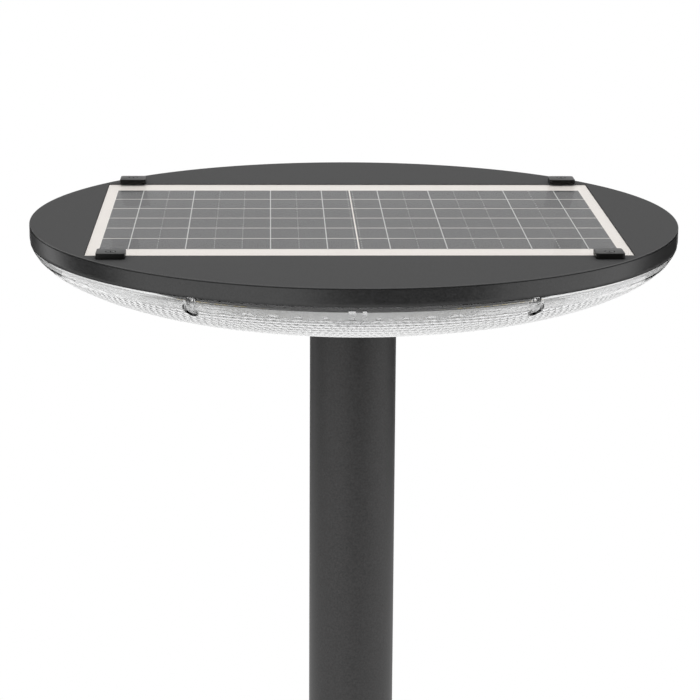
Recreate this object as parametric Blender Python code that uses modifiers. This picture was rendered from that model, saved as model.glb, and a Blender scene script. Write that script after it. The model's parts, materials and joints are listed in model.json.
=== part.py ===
"""Solar street lamp: a round solar head on the top section of a tubular pole.

Metres, +Z up.  The origin is on the pole's axis, at the lower end face of the pole section.
X runs along the solar panel's long side, and the front of the lamp faces -Y.
"""

import math

import bmesh
import bpy
from mathutils import Matrix, Vector

# Clearance between pieces that touch, and past the end of a screw in its hole
GAP = 0.0003
HOLE_END_CLEARANCE = 0.0009

# Pole section
POLE_DIAMETER = 0.0800
POLE_WALL = 0.0032
POLE_LENGTH = 0.600

# Coupler to the next pole section
COUPLER_CLEARANCE = 0.0004
COUPLER_WALL = 0.004
COUPLER_REACH = 0.080
COUPLER_SCREW_HEIGHT = 0.040

# Socket that carries the head on the pole
SOCKET_CLEARANCE = 0.0004
SOCKET_WALL = 0.0075
SOCKET_DEPTH = 0.075
SOCKET_TOP = 0.004
SOCKET_FILLET = 0.006
FLANGE_WIDTH = 0.0241
FLANGE_THICKNESS = 0.006
FLANGE_PAD = 0.0101
FLANGE_SCREW_INSET = 0.011
SET_SCREW_HEIGHT = 0.014
SET_SCREW_PROUD = 0.001

# Solar panel
PANEL_LENGTH = 0.4677
PANEL_WIDTH = 0.3369
PANEL_CLEARANCE = 0.0006
GLASS_THICKNESS = 0.0006
CELL_LAYER_THICKNESS = 0.0004
BACKSHEET_THICKNESS = 0.0020
CELL_END_MARGIN = 0.0106
CELL_SIDE_MARGIN = 0.0295

# Top housing
PANEL_CORNER_MARGIN = 0.0068
RIM_HEIGHT = 0.0162
RIM_FILLET = 0.0020
RIM_LIP_HEIGHT = 0.0039
RIM_LIP_TAPER = 0.0009
HOUSING_WALL = 0.0030
SKIRT_WALL = 0.0035
POCKET_WALL = 0.0025
POCKET_FLOOR = 0.0025

# Panel clips
CLIP_WIDTH = 0.0248
CLIP_HEIGHT = 0.0048
CLIP_LIP = 0.0054
CLIP_FOOT = 0.01755
CLIP_INSET = 0.0228
CLIP_CORNER = 0.003
CLIP_SEAT = 0.0024
CLIP_BOSS_RADIUS = 0.0045
CLIP_BOSS_DROP = 0.0070

# Junction box and charge controller
JUNCTION_LENGTH = 0.060
JUNCTION_WIDTH = 0.040
JUNCTION_HEIGHT = 0.022
JUNCTION_OFFSET = 0.018
JUNCTION_CLEARANCE = 0.0005
CONTROLLER_LENGTH = 0.070
CONTROLLER_WIDTH = 0.044
CONTROLLER_HEIGHT = 0.018
CONTROLLER_OFFSET = 0.011

# Batteries
CELL_DIAMETER = 0.032
CELL_LENGTH = 0.070
CELL_SPACING = 0.0004
CELLS_PER_TRAY = 3
TRAY_WALL = 0.0016
TRAY_HEIGHT = 0.020
BATTERY_OFFSET = 0.0081
BATTERY_HEADROOM = 0.0098
TERMINAL_RADIUS = 0.009
TERMINAL_HEIGHT = 0.0015

# Bottom cover
COVER_MARGIN = 0.0086
COVER_WALL = 0.0022
COVER_FLOOR = 0.0023
COVER_FLANGE = 0.008
COVER_HOLE_CLEARANCE = 0.0006
COVER_BOSS_RADIUS = 0.005
COVER_BOSS_INSET = 0.0128
COVER_NOTCH_WIDTH = 0.008
COVER_NOTCH_DEPTH = 0.008

# Lens
LENS_STEP = 0.0006
LENS_WALL = 0.0025
LENS_SHOULDER_INSET = 0.0045
LENS_SHOULDER_DROP = 0.0232
LENS_FLAT_WIDTH = 0.0072
LENS_BOTTOM_PULL = 0.0605
LENS_EDGE_CLEARANCE = 0.0006
LENS_FLANGE_REACH = 0.017
LENS_FLANGE_THICKNESS = 0.003
LENS_BOSS_RADIUS = 0.007
LENS_WELL_RADIUS = 0.0048
LENS_SCREW_INSET = 0.012
LENS_CURVE_STEPS = 7

# Gasket, reflector tray and LED boards
GASKET_WIDTH = 0.0045
GASKET_THICKNESS = 0.0012
TRAY_EDGE_CLEARANCE = 0.0005
REFLECTOR_THICKNESS = 0.0015
REFLECTOR_FOOT_SHARE = 0.78
REFLECTOR_CLEARANCE = 0.0010
HOUSING_BOSS_RADIUS = 0.006
BOARD_LENGTH = 0.120
BOARD_WIDTH = 0.026
BOARD_THICKNESS = 0.0016
LED_SIZE = 0.0035
LED_HEIGHT = 0.0010
LED_ROWS = 2
LEDS_PER_ROW = 6
LED_PITCH = 0.018
LED_ROW_PITCH = 0.012

# Push switch on the underside
SWITCH_RADIUS = 0.009
SWITCH_HEIGHT = 0.022
BUTTON_RADIUS = 0.0061
BUTTON_TRAVEL = 0.0025
BUTTON_PROUD = 0.0015
BEZEL_WALL = 0.0013
BEZEL_FLANGE = 0.0043
BEZEL_HEIGHT = 0.0025

# Internal leads
PANEL_LEAD_DIAMETER = 0.005
BATTERY_LEAD_DIAMETER = 0.004
LED_LEAD_DIAMETER = 0.004
LEAD_OFFSET = 0.014
LED_LEAD_REACH = 0.030
LEAD_POINT_SPACING = 2.5

# Screws: radius of shank, radius and height of head, radius and depth of drive, length
M4 = {"shank": 0.0020, "head": 0.0039, "height": 0.0022, "drive": 0.0016, "sink": 0.0013}
M6 = {"shank": 0.0030, "head": 0.0050, "height": 0.0033, "drive": 0.0022, "sink": 0.0018}
M8 = {"shank": 0.0040, "head": 0.0070, "height": 0.0044, "drive": 0.0026, "sink": 0.0022}
CLIP_SCREW_LENGTH = 0.0095
LENS_SCREW_LENGTH = 0.0120
COVER_SCREW_LENGTH = 0.0140
FLANGE_SCREW_LENGTH = 0.0150

# Counts and resolution
LENS_SCREWS = 6
LED_BOARDS = 6
COVER_SCREWS = 4
FLANGE_SCREWS = 3
SET_SCREWS = 3
HEAD_STEPS = 60
POLE_STEPS = 36
SCREW_STEPS = 8
BOSS_STEPS = 12
ROUND_STEPS = 16
CORNER_STEPS = 3
MERGE_DISTANCE = 0.00001


def spread(count, first_degrees=0.0):
    """Angles of evenly spaced copies round the axis."""
    return [math.radians(first_degrees) + math.tau * i / count for i in range(count)]


# Pole and socket, worked out
POLE_RADIUS = POLE_DIAMETER / 2
POLE_BORE = POLE_RADIUS - POLE_WALL
COUPLER_RADIUS = POLE_BORE - COUPLER_CLEARANCE
COUPLER_BORE = COUPLER_RADIUS - COUPLER_WALL
SOCKET_BORE = POLE_RADIUS + SOCKET_CLEARANCE
SOCKET_RADIUS = SOCKET_BORE + SOCKET_WALL
FLANGE_RADIUS = SOCKET_RADIUS + FLANGE_WIDTH
FLANGE_SCREW_RADIUS = FLANGE_RADIUS - FLANGE_SCREW_INSET
FLANGE_SCREW_ANGLES = spread(FLANGE_SCREWS, 30)
SET_SCREW_ANGLES = spread(SET_SCREWS, 90)
SOCKET_BOTTOM_Z = POLE_LENGTH - SOCKET_DEPTH
SOCKET_CEILING_Z = POLE_LENGTH + GAP
SOCKET_TOP_Z = SOCKET_CEILING_Z + SOCKET_TOP
FLANGE_BOTTOM_Z = SOCKET_TOP_Z - FLANGE_THICKNESS
FLANGE_PAD_Z = SOCKET_TOP_Z + GAP

# Panel stack and housing levels
POCKET_CEILING_Z = FLANGE_PAD_Z + FLANGE_PAD
POCKET_FLOOR_Z = POCKET_CEILING_Z + POCKET_FLOOR
BACKSHEET_Z = POCKET_FLOOR_Z + GAP
CELL_LAYER_Z = BACKSHEET_Z + BACKSHEET_THICKNESS + GAP
GLASS_Z = CELL_LAYER_Z + CELL_LAYER_THICKNESS + GAP
TOP_Z = GLASS_Z + GLASS_THICKNESS
CEILING_Z = TOP_Z - HOUSING_WALL
RIM_BOTTOM_Z = TOP_Z - RIM_HEIGHT
POCKET_LENGTH = PANEL_LENGTH + 2 * PANEL_CLEARANCE
POCKET_WIDTH = PANEL_WIDTH + 2 * PANEL_CLEARANCE
HEAD_RADIUS = math.hypot(PANEL_LENGTH / 2, PANEL_WIDTH / 2) + PANEL_CORNER_MARGIN
SKIRT_BORE = HEAD_RADIUS - SKIRT_WALL

# Batteries and bottom cover
TRAY_START = SOCKET_RADIUS + BATTERY_OFFSET
TRAY_LENGTH = CELL_LENGTH + 2 * TERMINAL_HEIGHT + 2 * (GAP + TRAY_WALL)
CELL_PITCH = CELL_DIAMETER + CELL_SPACING
TRAY_WIDTH = CELLS_PER_TRAY * CELL_PITCH - CELL_SPACING + 2 * (GAP + TRAY_WALL)
TRAY_MIDDLE = TRAY_START + TRAY_LENGTH / 2
CELL_TOP_Z = FLANGE_BOTTOM_Z - BATTERY_HEADROOM
CELL_Z = CELL_TOP_Z - CELL_DIAMETER / 2
TRAY_Z = CELL_TOP_Z - CELL_DIAMETER - GAP - TRAY_WALL
COVER_FLOOR_Z = TRAY_Z - GAP
COVER_BOTTOM_Z = COVER_FLOOR_Z - COVER_FLOOR
COVER_TOP_Z = POCKET_CEILING_Z - GAP
COVER_BORE = math.hypot(TRAY_START + TRAY_LENGTH, TRAY_WIDTH / 2) + COVER_MARGIN
COVER_RADIUS = COVER_BORE + COVER_WALL
COVER_HOLE_RADIUS = SOCKET_RADIUS + COVER_HOLE_CLEARANCE
COVER_BOSS_CIRCLE = COVER_BORE - COVER_BOSS_INSET
COVER_BOSS_ANGLES = spread(COVER_SCREWS, 45)

# Lens, gasket and reflector tray
LENS_TOP_Z = RIM_BOTTOM_Z - GAP
LENS_FLANGE_Z = LENS_TOP_Z - LENS_FLANGE_THICKNESS
LENS_BOTTOM_Z = COVER_FLOOR_Z + GAP
LENS_RADIUS = HEAD_RADIUS - LENS_STEP
LENS_INNER_RADIUS = COVER_RADIUS + LENS_EDGE_CLEARANCE
LENS_FLANGE_BORE = HEAD_RADIUS - LENS_FLANGE_REACH
LENS_SCREW_CIRCLE = HEAD_RADIUS - LENS_SCREW_INSET
LENS_SCREW_ANGLES = spread(LENS_SCREWS)
GASKET_Z = LENS_TOP_Z + GAP
REFLECTOR_Z = GASKET_Z + GASKET_THICKNESS + GAP
REFLECTOR_TOP_Z = REFLECTOR_Z + REFLECTOR_THICKNESS
REFLECTOR_RADIUS = SKIRT_BORE - TRAY_EDGE_CLEARANCE
REFLECTOR_BORE = COVER_RADIUS + TRAY_EDGE_CLEARANCE
REFLECTOR_CONE_WALL = 2 * REFLECTOR_THICKNESS
HOUSING_BOSS_Z = REFLECTOR_TOP_Z + GAP
BOARD_TOP_Z = REFLECTOR_Z - GAP
BOARD_CIRCLE = (REFLECTOR_BORE + LENS_FLANGE_BORE) / 2

# Junction box, controller, clips and switch
JUNCTION_Y = FLANGE_RADIUS + JUNCTION_OFFSET + JUNCTION_WIDTH / 2
CONTROLLER_Y = -(FLANGE_RADIUS + CONTROLLER_OFFSET + CONTROLLER_WIDTH / 2)
CONTROLLER_TOP_Z = POCKET_CEILING_Z - GAP
CONTROLLER_Z = CONTROLLER_TOP_Z - CONTROLLER_HEIGHT / 2
CLIP_SIDES = [(-1, -1), (1, -1), (1, 1), (-1, 1)]
CLIP_X = PANEL_LENGTH / 2 - CLIP_INSET
CLIP_EDGE_Y = PANEL_WIDTH / 2
CLIP_SCREW_Y = CLIP_EDGE_Y + CLIP_FOOT / 2
CLIP_Z = TOP_Z + GAP
CLIP_SEAT_Z = CLIP_Z + CLIP_HEIGHT - CLIP_SEAT
BUTTON_BORE = BUTTON_RADIUS + GAP
BEZEL_RADIUS = BUTTON_BORE + BEZEL_WALL
BEZEL_TOP_Z = COVER_BOTTOM_Z - GAP
BUTTON_TOP_Z = COVER_FLOOR_Z - BUTTON_TRAVEL
BUTTON_BOTTOM_Z = BEZEL_TOP_Z - BEZEL_HEIGHT - BUTTON_PROUD
SWITCH_Y = CONTROLLER_Y


def start_scene():
    """Empty the scene and make one collection for the parts and one for the cutters."""
    for old in list(bpy.data.objects):
        bpy.data.objects.remove(old)
    made = []
    for name in ("solar_street_lamp", "cutters"):
        group = bpy.data.collections.new(name)
        bpy.context.scene.collection.children.link(group)
        made.append(group)
    return made


PARTS, CUTTERS = start_scene()


def make_finish(name, colour, roughness, metallic=0.0, alpha=1.0):
    """A plain Principled material."""
    finish = bpy.data.materials.new(name)
    finish.use_nodes = True
    shader = finish.node_tree.nodes["Principled BSDF"]
    shader.inputs["Base Color"].default_value = (*colour, 1.0)
    shader.inputs["Roughness"].default_value = roughness
    shader.inputs["Metallic"].default_value = metallic
    shader.inputs["Alpha"].default_value = alpha
    return finish


HOUSING_PAINT = make_finish("housing_paint", (0.06, 0.06, 0.062), 0.5)
POLE_PAINT = make_finish("pole_paint", (0.05, 0.05, 0.05), 0.5)
GLASS = make_finish("panel_glass", (0.9, 0.92, 0.92), 0.05, alpha=0.3)
SILICON = make_finish("solar_cell", (0.05, 0.055, 0.07), 0.3)
BACKSHEET = make_finish("backsheet", (0.80, 0.77, 0.73), 0.5)
CLIP_BLACK = make_finish("clip_plastic", (0.012, 0.011, 0.011), 0.25)
STEEL = make_finish("screw_steel", (0.08, 0.08, 0.08), 0.35, 1.0)
CLEAR = make_finish("clear_lens", (0.92, 0.93, 0.93), 0.08, alpha=0.4)
RUBBER = make_finish("gasket_rubber", (0.03, 0.03, 0.03), 0.8)
WHITE_TRAY = make_finish("reflector_white", (0.86, 0.86, 0.86), 0.35)
BOARD_WHITE = make_finish("board_white", (0.80, 0.80, 0.78), 0.4)
COVER_PLASTIC = make_finish("cover_plastic", (0.05, 0.05, 0.05), 0.5)
CELL_WRAP = make_finish("cell_wrap", (0.03, 0.10, 0.30), 0.4)
TRAY_PLASTIC = make_finish("tray_plastic", (0.10, 0.10, 0.10), 0.6)
CASE_PLASTIC = make_finish("case_plastic", (0.02, 0.02, 0.02), 0.45)
COUPLER_METAL = make_finish("coupler_steel", (0.60, 0.60, 0.60), 0.4, 1.0)
BUTTON_RUBBER = make_finish("button_rubber", (0.25, 0.02, 0.02), 0.5)
LEAD_JACKET = make_finish("lead_jacket", (0.015, 0.015, 0.015), 0.5)


def polar(radius, angle, z=0.0):
    """A point at a radius and an angle from +X."""
    return Vector((radius * math.cos(angle), radius * math.sin(angle), z))


def add_part(name, data, finish, matrix=None):
    """Put a mesh or curve in the parts collection as a named piece."""
    part = bpy.data.objects.new(name, data)
    PARTS.objects.link(part)
    if matrix is not None:
        part.matrix_world = matrix
    part.data.materials.clear()
    part.data.materials.append(finish)
    return part


def add_cutter(name, data):
    """Put a mesh in the cutters collection, as a tool that is not a piece."""
    cutter = bpy.data.objects.new(name, data)
    CUTTERS.objects.link(cutter)
    cutter.hide_render = True
    cutter.display_type = "WIRE"
    return cutter


def combine(part, cutter, operation):
    """Add a Boolean modifier to a piece."""
    step = part.modifiers.new(operation.lower(), "BOOLEAN")
    step.operation = operation
    step.object = cutter
    step.solver = "EXACT"


def box_at(shape, low, high):
    """Add a box between two corners to a bmesh, and return its vertices."""
    low, high = Vector(low), Vector(high)
    size = high - low
    place = Matrix.Translation((low + high) / 2) @ Matrix.Diagonal((*size, 1.0))
    return bmesh.ops.create_cube(shape, size=1.0, matrix=place)["verts"]


def rod_at(shape, radius, start, end, segments=SCREW_STEPS):
    """Add a closed cylinder between two points to a bmesh."""
    start, end = Vector(start), Vector(end)
    run = end - start
    turn = Vector((0, 0, 1)).rotation_difference(run).to_matrix().to_4x4()
    place = Matrix.Translation((start + end) / 2) @ turn
    bmesh.ops.create_cone(
        shape,
        cap_ends=True,
        segments=segments,
        radius1=radius,
        radius2=radius,
        depth=run.length,
        matrix=place,
    )


def mesh_of(name, shape):
    """Turn a bmesh into mesh data."""
    data = bpy.data.meshes.new(name)
    bmesh.ops.recalc_face_normals(shape, faces=shape.faces)
    shape.to_mesh(data)
    shape.free()
    return data


def box_mesh(name, low, high):
    """Mesh data of one box."""
    shape = bmesh.new()
    box_at(shape, low, high)
    return mesh_of(name, shape)


def profile_mesh(name, points, closed):
    """Mesh data of a turned piece's profile: an outline of (radius, height) points."""
    shape = bmesh.new()
    verts = [shape.verts.new((radius, 0.0, height)) for radius, height in points]
    for first, second in zip(verts, verts[1:]):
        shape.edges.new((first, second))
    if closed:
        shape.edges.new((verts[-1], verts[0]))
    data = bpy.data.meshes.new(name)
    shape.to_mesh(data)
    shape.free()
    return data


def turn_profile(part, steps):
    """Turn a profile about Z with a Screw modifier."""
    turn = part.modifiers.new("turn", "SCREW")
    turn.steps = steps
    turn.render_steps = steps
    turn.use_merge_vertices = True
    turn.merge_threshold = MERGE_DISTANCE
    turn.use_smooth_shade = True


def turned_part(name, points, steps, finish, closed=True):
    """A piece turned about Z from its profile, which runs down the outer side."""
    part = add_part(name, profile_mesh(name, points, closed), finish)
    turn_profile(part, steps)
    return part


def baked_mesh(tool):
    """The evaluated mesh of an object, which is then removed, for copies to share."""
    bpy.context.view_layer.update()
    graph = bpy.context.evaluated_depsgraph_get()
    data = bpy.data.meshes.new_from_object(tool.evaluated_get(graph))
    data.name = tool.name
    bpy.data.objects.remove(tool)
    return data


def screw_mesh(name, size, length):
    """Mesh data of a pan-head screw: head above z = 0, shank below."""
    points = [
        (0.0, size["height"] - size["sink"]),
        (size["drive"], size["height"] - size["sink"]),
        (size["drive"], size["height"]),
        (size["head"], size["height"]),
        (size["head"], 0.0),
        (size["shank"], 0.0),
        (size["shank"], -length),
        (0.0, -length),
    ]
    tool = add_cutter(name, profile_mesh(name, points, False))
    turn_profile(tool, SCREW_STEPS)
    return baked_mesh(tool)


def smooth_route(points, diameter):
    """Points along a smooth curve through a lead's own points, a few diameters apart."""
    ends = [points[0] * 2 - points[1], *points, points[-1] * 2 - points[-2]]
    route = []
    for before, start, end, after in zip(ends, ends[1:], ends[2:], ends[3:]):
        count = max(2, round((end - start).length / (LEAD_POINT_SPACING * diameter)))
        for i in range(count):
            t = i / count
            bend = (end - before) * t + (2 * before - 5 * start + 4 * end - after) * t**2
            bend += (3 * start - before - 3 * end + after) * t**3
            route.append(start + bend / 2)
    route.append(points[-1])
    return route


def add_lead(name, start, leave, via, end, arrive, diameter):
    """A round lead that runs straight for two diameters at each end, square to what it meets."""
    start, leave = Vector(start), Vector(leave) * diameter
    end, arrive = Vector(end), Vector(arrive) * diameter
    points = [start, start + leave, start + 2 * leave]
    points += [Vector(place) for place in via]
    points += [end - 2 * arrive, end - arrive, end]
    route = smooth_route(points, diameter)
    data = bpy.data.curves.new(name, "CURVE")
    data.dimensions = "3D"
    data.bevel_depth = diameter / 2
    data.bevel_resolution = 2
    data.use_fill_caps = True
    spline = data.splines.new("POLY")
    spline.points.add(len(route) - 1)
    for knot, place in zip(spline.points, route):
        knot.co = (*place, 1.0)
    return add_part(name, data, LEAD_JACKET)


# Pole section and its coupler


def add_pole():
    """The tube, drilled for the coupler's screws."""
    tube = turned_part(
        "pole_tube",
        [
            (POLE_RADIUS, POLE_LENGTH),
            (POLE_RADIUS, 0.0),
            (POLE_BORE, 0.0),
            (POLE_BORE, POLE_LENGTH),
        ],
        POLE_STEPS,
        POLE_PAINT,
    )
    coupler = turned_part(
        "pole_coupler",
        [
            (COUPLER_RADIUS, COUPLER_REACH),
            (COUPLER_RADIUS, -COUPLER_REACH),
            (COUPLER_BORE, -COUPLER_REACH),
            (COUPLER_BORE, COUPLER_REACH),
        ],
        POLE_STEPS,
        COUPLER_METAL,
    )
    drill = bmesh.new()
    for side in (-1, 1):
        inner = (side * COUPLER_BORE / 2, 0.0, COUPLER_SCREW_HEIGHT)
        outer = (side * (POLE_RADIUS + POLE_WALL), 0.0, COUPLER_SCREW_HEIGHT)
        rod_at(drill, M8["shank"] + GAP, inner, outer)
    holes = add_cutter("coupler_holes", mesh_of("coupler_holes", drill))
    combine(tube, holes, "DIFFERENCE")
    combine(coupler, holes, "DIFFERENCE")
    length = POLE_WALL + COUPLER_CLEARANCE + COUPLER_WALL
    data = screw_mesh("coupler_screw", M8, length)
    for i, angle in enumerate((0.0, math.pi)):
        seat = polar(POLE_RADIUS + GAP, angle, COUPLER_SCREW_HEIGHT)
        place = Matrix.Translation(seat) @ Matrix.Rotation(angle, 4, "Z")
        place = place @ Matrix.Rotation(math.pi / 2, 4, "Y")
        add_part(f"coupler_screw_{i + 1}", data, STEEL, place)


# Socket with its flange screws and set screws


def add_socket():
    """The cast socket: a sleeve on the pole with a flange under the housing."""
    socket = turned_part(
        "pole_socket",
        [
            (0.0, SOCKET_TOP_Z),
            (FLANGE_RADIUS, SOCKET_TOP_Z),
            (FLANGE_RADIUS, FLANGE_BOTTOM_Z),
            (SOCKET_RADIUS + SOCKET_FILLET, FLANGE_BOTTOM_Z),
            (SOCKET_RADIUS, FLANGE_BOTTOM_Z - SOCKET_FILLET),
            (SOCKET_RADIUS, SOCKET_BOTTOM_Z + SOCKET_WALL / 4),
            (SOCKET_RADIUS - SOCKET_WALL / 4, SOCKET_BOTTOM_Z),
            (SOCKET_BORE, SOCKET_BOTTOM_Z),
            (SOCKET_BORE, SOCKET_CEILING_Z),
            (0.0, SOCKET_CEILING_Z),
        ],
        POLE_STEPS,
        HOUSING_PAINT,
        closed=False,
    )
    drill = bmesh.new()
    for angle in FLANGE_SCREW_ANGLES:
        low = polar(FLANGE_SCREW_RADIUS, angle, FLANGE_BOTTOM_Z - M6["height"])
        high = polar(FLANGE_SCREW_RADIUS, angle, SOCKET_TOP_Z + M6["height"])
        rod_at(drill, M6["shank"] + GAP, low, high)
    data = screw_mesh("socket_screw", M6, FLANGE_SCREW_LENGTH)
    for i, angle in enumerate(FLANGE_SCREW_ANGLES):
        seat = polar(FLANGE_SCREW_RADIUS, angle, FLANGE_BOTTOM_Z - GAP)
        place = Matrix.Translation(seat) @ Matrix.Rotation(math.pi, 4, "X")
        add_part(f"socket_screw_{i + 1}", data, STEEL, place)
    set_z = SOCKET_BOTTOM_Z + SET_SCREW_HEIGHT
    for angle in SET_SCREW_ANGLES:
        start = polar(SOCKET_BORE - SOCKET_WALL / 2, angle, set_z)
        end = polar(SOCKET_RADIUS + SOCKET_WALL / 2, angle, set_z)
        rod_at(drill, M8["shank"] + GAP, start, end)
    combine(socket, add_cutter("socket_holes", mesh_of("socket_holes", drill)), "DIFFERENCE")
    length = SOCKET_RADIUS + SET_SCREW_PROUD - POLE_RADIUS - GAP
    grub = [
        (0.0, -M8["sink"]),
        (M8["drive"], -M8["sink"]),
        (M8["drive"], 0.0),
        (M8["shank"], 0.0),
        (M8["shank"], -length),
        (0.0, -length),
    ]
    tool = add_cutter("set_screw", profile_mesh("set_screw", grub, False))
    turn_profile(tool, SCREW_STEPS)
    data = baked_mesh(tool)
    for i, angle in enumerate(SET_SCREW_ANGLES):
        seat = polar(SOCKET_RADIUS + SET_SCREW_PROUD, angle, set_z)
        place = Matrix.Translation(seat) @ Matrix.Rotation(angle, 4, "Z")
        place = place @ Matrix.Rotation(math.pi / 2, 4, "Y")
        add_part(f"set_screw_{i + 1}", data, STEEL, place)


# Top housing


def rim_fillet():
    """Points of the rounded edge between the top and the rim."""
    middle = Vector((HEAD_RADIUS - RIM_FILLET, TOP_Z - RIM_FILLET))
    angles = [math.pi / 2 * (1 - i / CORNER_STEPS) for i in range(CORNER_STEPS + 1)]
    return [
        (middle.x + RIM_FILLET * math.cos(a), middle.y + RIM_FILLET * math.sin(a)) for a in angles
    ]


def housing_bosses():
    """Everything that hangs from the housing's ceiling."""
    shape = bmesh.new()
    bury = HOUSING_WALL / 2
    for angle in LENS_SCREW_ANGLES:
        low = polar(LENS_SCREW_CIRCLE, angle, HOUSING_BOSS_Z)
        high = polar(LENS_SCREW_CIRCLE, angle, CEILING_Z + bury)
        rod_at(shape, HOUSING_BOSS_RADIUS, low, high, BOSS_STEPS)
    for side_x, side_y in CLIP_SIDES:
        foot = Vector((side_x * CLIP_X, side_y * CLIP_SCREW_Y, CEILING_Z - CLIP_BOSS_DROP))
        rod_at(shape, CLIP_BOSS_RADIUS, foot, (foot.x, foot.y, CEILING_Z + bury), BOSS_STEPS)
    for angle in COVER_BOSS_ANGLES:
        low = polar(COVER_BOSS_CIRCLE, angle, COVER_FLOOR_Z + GAP)
        high = polar(COVER_BOSS_CIRCLE, angle, POCKET_CEILING_Z + POCKET_FLOOR / 2)
        rod_at(shape, COVER_BOSS_RADIUS, low, high, BOSS_STEPS)
    high = (0.0, 0.0, POCKET_CEILING_Z + POCKET_FLOOR / 2)
    rod_at(shape, FLANGE_RADIUS, (0.0, 0.0, FLANGE_PAD_Z), high, POLE_STEPS)
    return mesh_of("housing_bosses", shape)


def housing_holes():
    """Screw holes, the hollow of the flange pad and the junction box's window."""
    shape = bmesh.new()
    for side_x, side_y in CLIP_SIDES:
        seat = Vector((side_x * CLIP_X, side_y * CLIP_SCREW_Y, CLIP_SEAT_Z))
        low = (seat.x, seat.y, CLIP_SEAT_Z + GAP - CLIP_SCREW_LENGTH - HOLE_END_CLEARANCE)
        rod_at(shape, M4["shank"] + GAP, low, (seat.x, seat.y, TOP_Z + HOUSING_WALL))
    for angle in LENS_SCREW_ANGLES:
        high = LENS_FLANGE_Z - GAP + LENS_SCREW_LENGTH + HOLE_END_CLEARANCE
        low = polar(LENS_SCREW_CIRCLE, angle, HOUSING_BOSS_Z - HOUSING_WALL)
        rod_at(shape, M4["shank"] + GAP, low, polar(LENS_SCREW_CIRCLE, angle, high))
    for angle in COVER_BOSS_ANGLES:
        high = COVER_BOTTOM_Z - GAP + COVER_SCREW_LENGTH + HOLE_END_CLEARANCE
        low = polar(COVER_BOSS_CIRCLE, angle, COVER_BOTTOM_Z)
        rod_at(shape, M4["shank"] + GAP, low, polar(COVER_BOSS_CIRCLE, angle, high))
    for angle in FLANGE_SCREW_ANGLES:
        high = FLANGE_BOTTOM_Z - GAP + FLANGE_SCREW_LENGTH + HOLE_END_CLEARANCE
        low = polar(FLANGE_SCREW_RADIUS, angle, FLANGE_BOTTOM_Z)
        rod_at(shape, M6["shank"] + GAP, low, polar(FLANGE_SCREW_RADIUS, angle, high))
    rod_at(shape, SOCKET_RADIUS, (0, 0, FLANGE_BOTTOM_Z), (0, 0, POCKET_CEILING_Z), POLE_STEPS)
    half_x = JUNCTION_LENGTH / 2 + JUNCTION_CLEARANCE
    half_y = JUNCTION_WIDTH / 2 + JUNCTION_CLEARANCE
    low = (-half_x, JUNCTION_Y - half_y, POCKET_CEILING_Z - POCKET_FLOOR)
    high = (half_x, JUNCTION_Y + half_y, POCKET_FLOOR_Z + POCKET_FLOOR)
    box_at(shape, low, high)
    return mesh_of("housing_holes", shape)


def add_housing():
    """The round dish with its rim, the pocket for the panel and the bosses inside."""
    housing = turned_part(
        "top_housing",
        [
            (0.0, TOP_Z),
            *rim_fillet(),
            (HEAD_RADIUS, RIM_BOTTOM_Z + RIM_LIP_HEIGHT),
            (HEAD_RADIUS - RIM_LIP_TAPER, RIM_BOTTOM_Z),
            (SKIRT_BORE, RIM_BOTTOM_Z),
            (SKIRT_BORE, CEILING_Z),
            (0.0, CEILING_Z),
        ],
        HEAD_STEPS,
        HOUSING_PAINT,
        closed=False,
    )
    half_x = POCKET_LENGTH / 2
    half_y = POCKET_WIDTH / 2
    low = (-half_x - POCKET_WALL, -half_y - POCKET_WALL, POCKET_CEILING_Z)
    high = (half_x + POCKET_WALL, half_y + POCKET_WALL, CEILING_Z + HOUSING_WALL / 2)
    slab = add_cutter("pocket_slab", box_mesh("pocket_slab", low, high))
    low = (-half_x, -half_y, POCKET_FLOOR_Z)
    high = (half_x, half_y, TOP_Z + HOUSING_WALL)
    pocket = add_cutter("panel_pocket", box_mesh("panel_pocket", low, high))
    combine(housing, slab, "UNION")
    combine(housing, add_cutter("housing_bosses", housing_bosses()), "UNION")
    combine(housing, pocket, "DIFFERENCE")
    combine(housing, add_cutter("housing_holes", housing_holes()), "DIFFERENCE")


# Solar panel, clips and junction box


def add_panel():
    """Backsheet, cell layer and glass, stacked in the pocket."""
    half_x = PANEL_LENGTH / 2
    half_y = PANEL_WIDTH / 2
    cell_x = half_x - CELL_END_MARGIN
    cell_y = half_y - CELL_SIDE_MARGIN
    layers = [
        ("panel_backsheet", half_x, half_y, BACKSHEET_Z, BACKSHEET_THICKNESS, BACKSHEET),
        ("solar_cells", cell_x, cell_y, CELL_LAYER_Z, CELL_LAYER_THICKNESS, SILICON),
        ("panel_glass", half_x, half_y, GLASS_Z, GLASS_THICKNESS, GLASS),
    ]
    for name, x, y, z, thickness, finish in layers:
        add_part(name, box_mesh(name, (-x, -y, z), (x, y, z + thickness)), finish)
    top = BACKSHEET_Z - GAP
    low = (-JUNCTION_LENGTH / 2, JUNCTION_Y - JUNCTION_WIDTH / 2, top - JUNCTION_HEIGHT)
    high = (JUNCTION_LENGTH / 2, JUNCTION_Y + JUNCTION_WIDTH / 2, top)
    add_part("junction_box", box_mesh("junction_box", low, high), CASE_PLASTIC)


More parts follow.
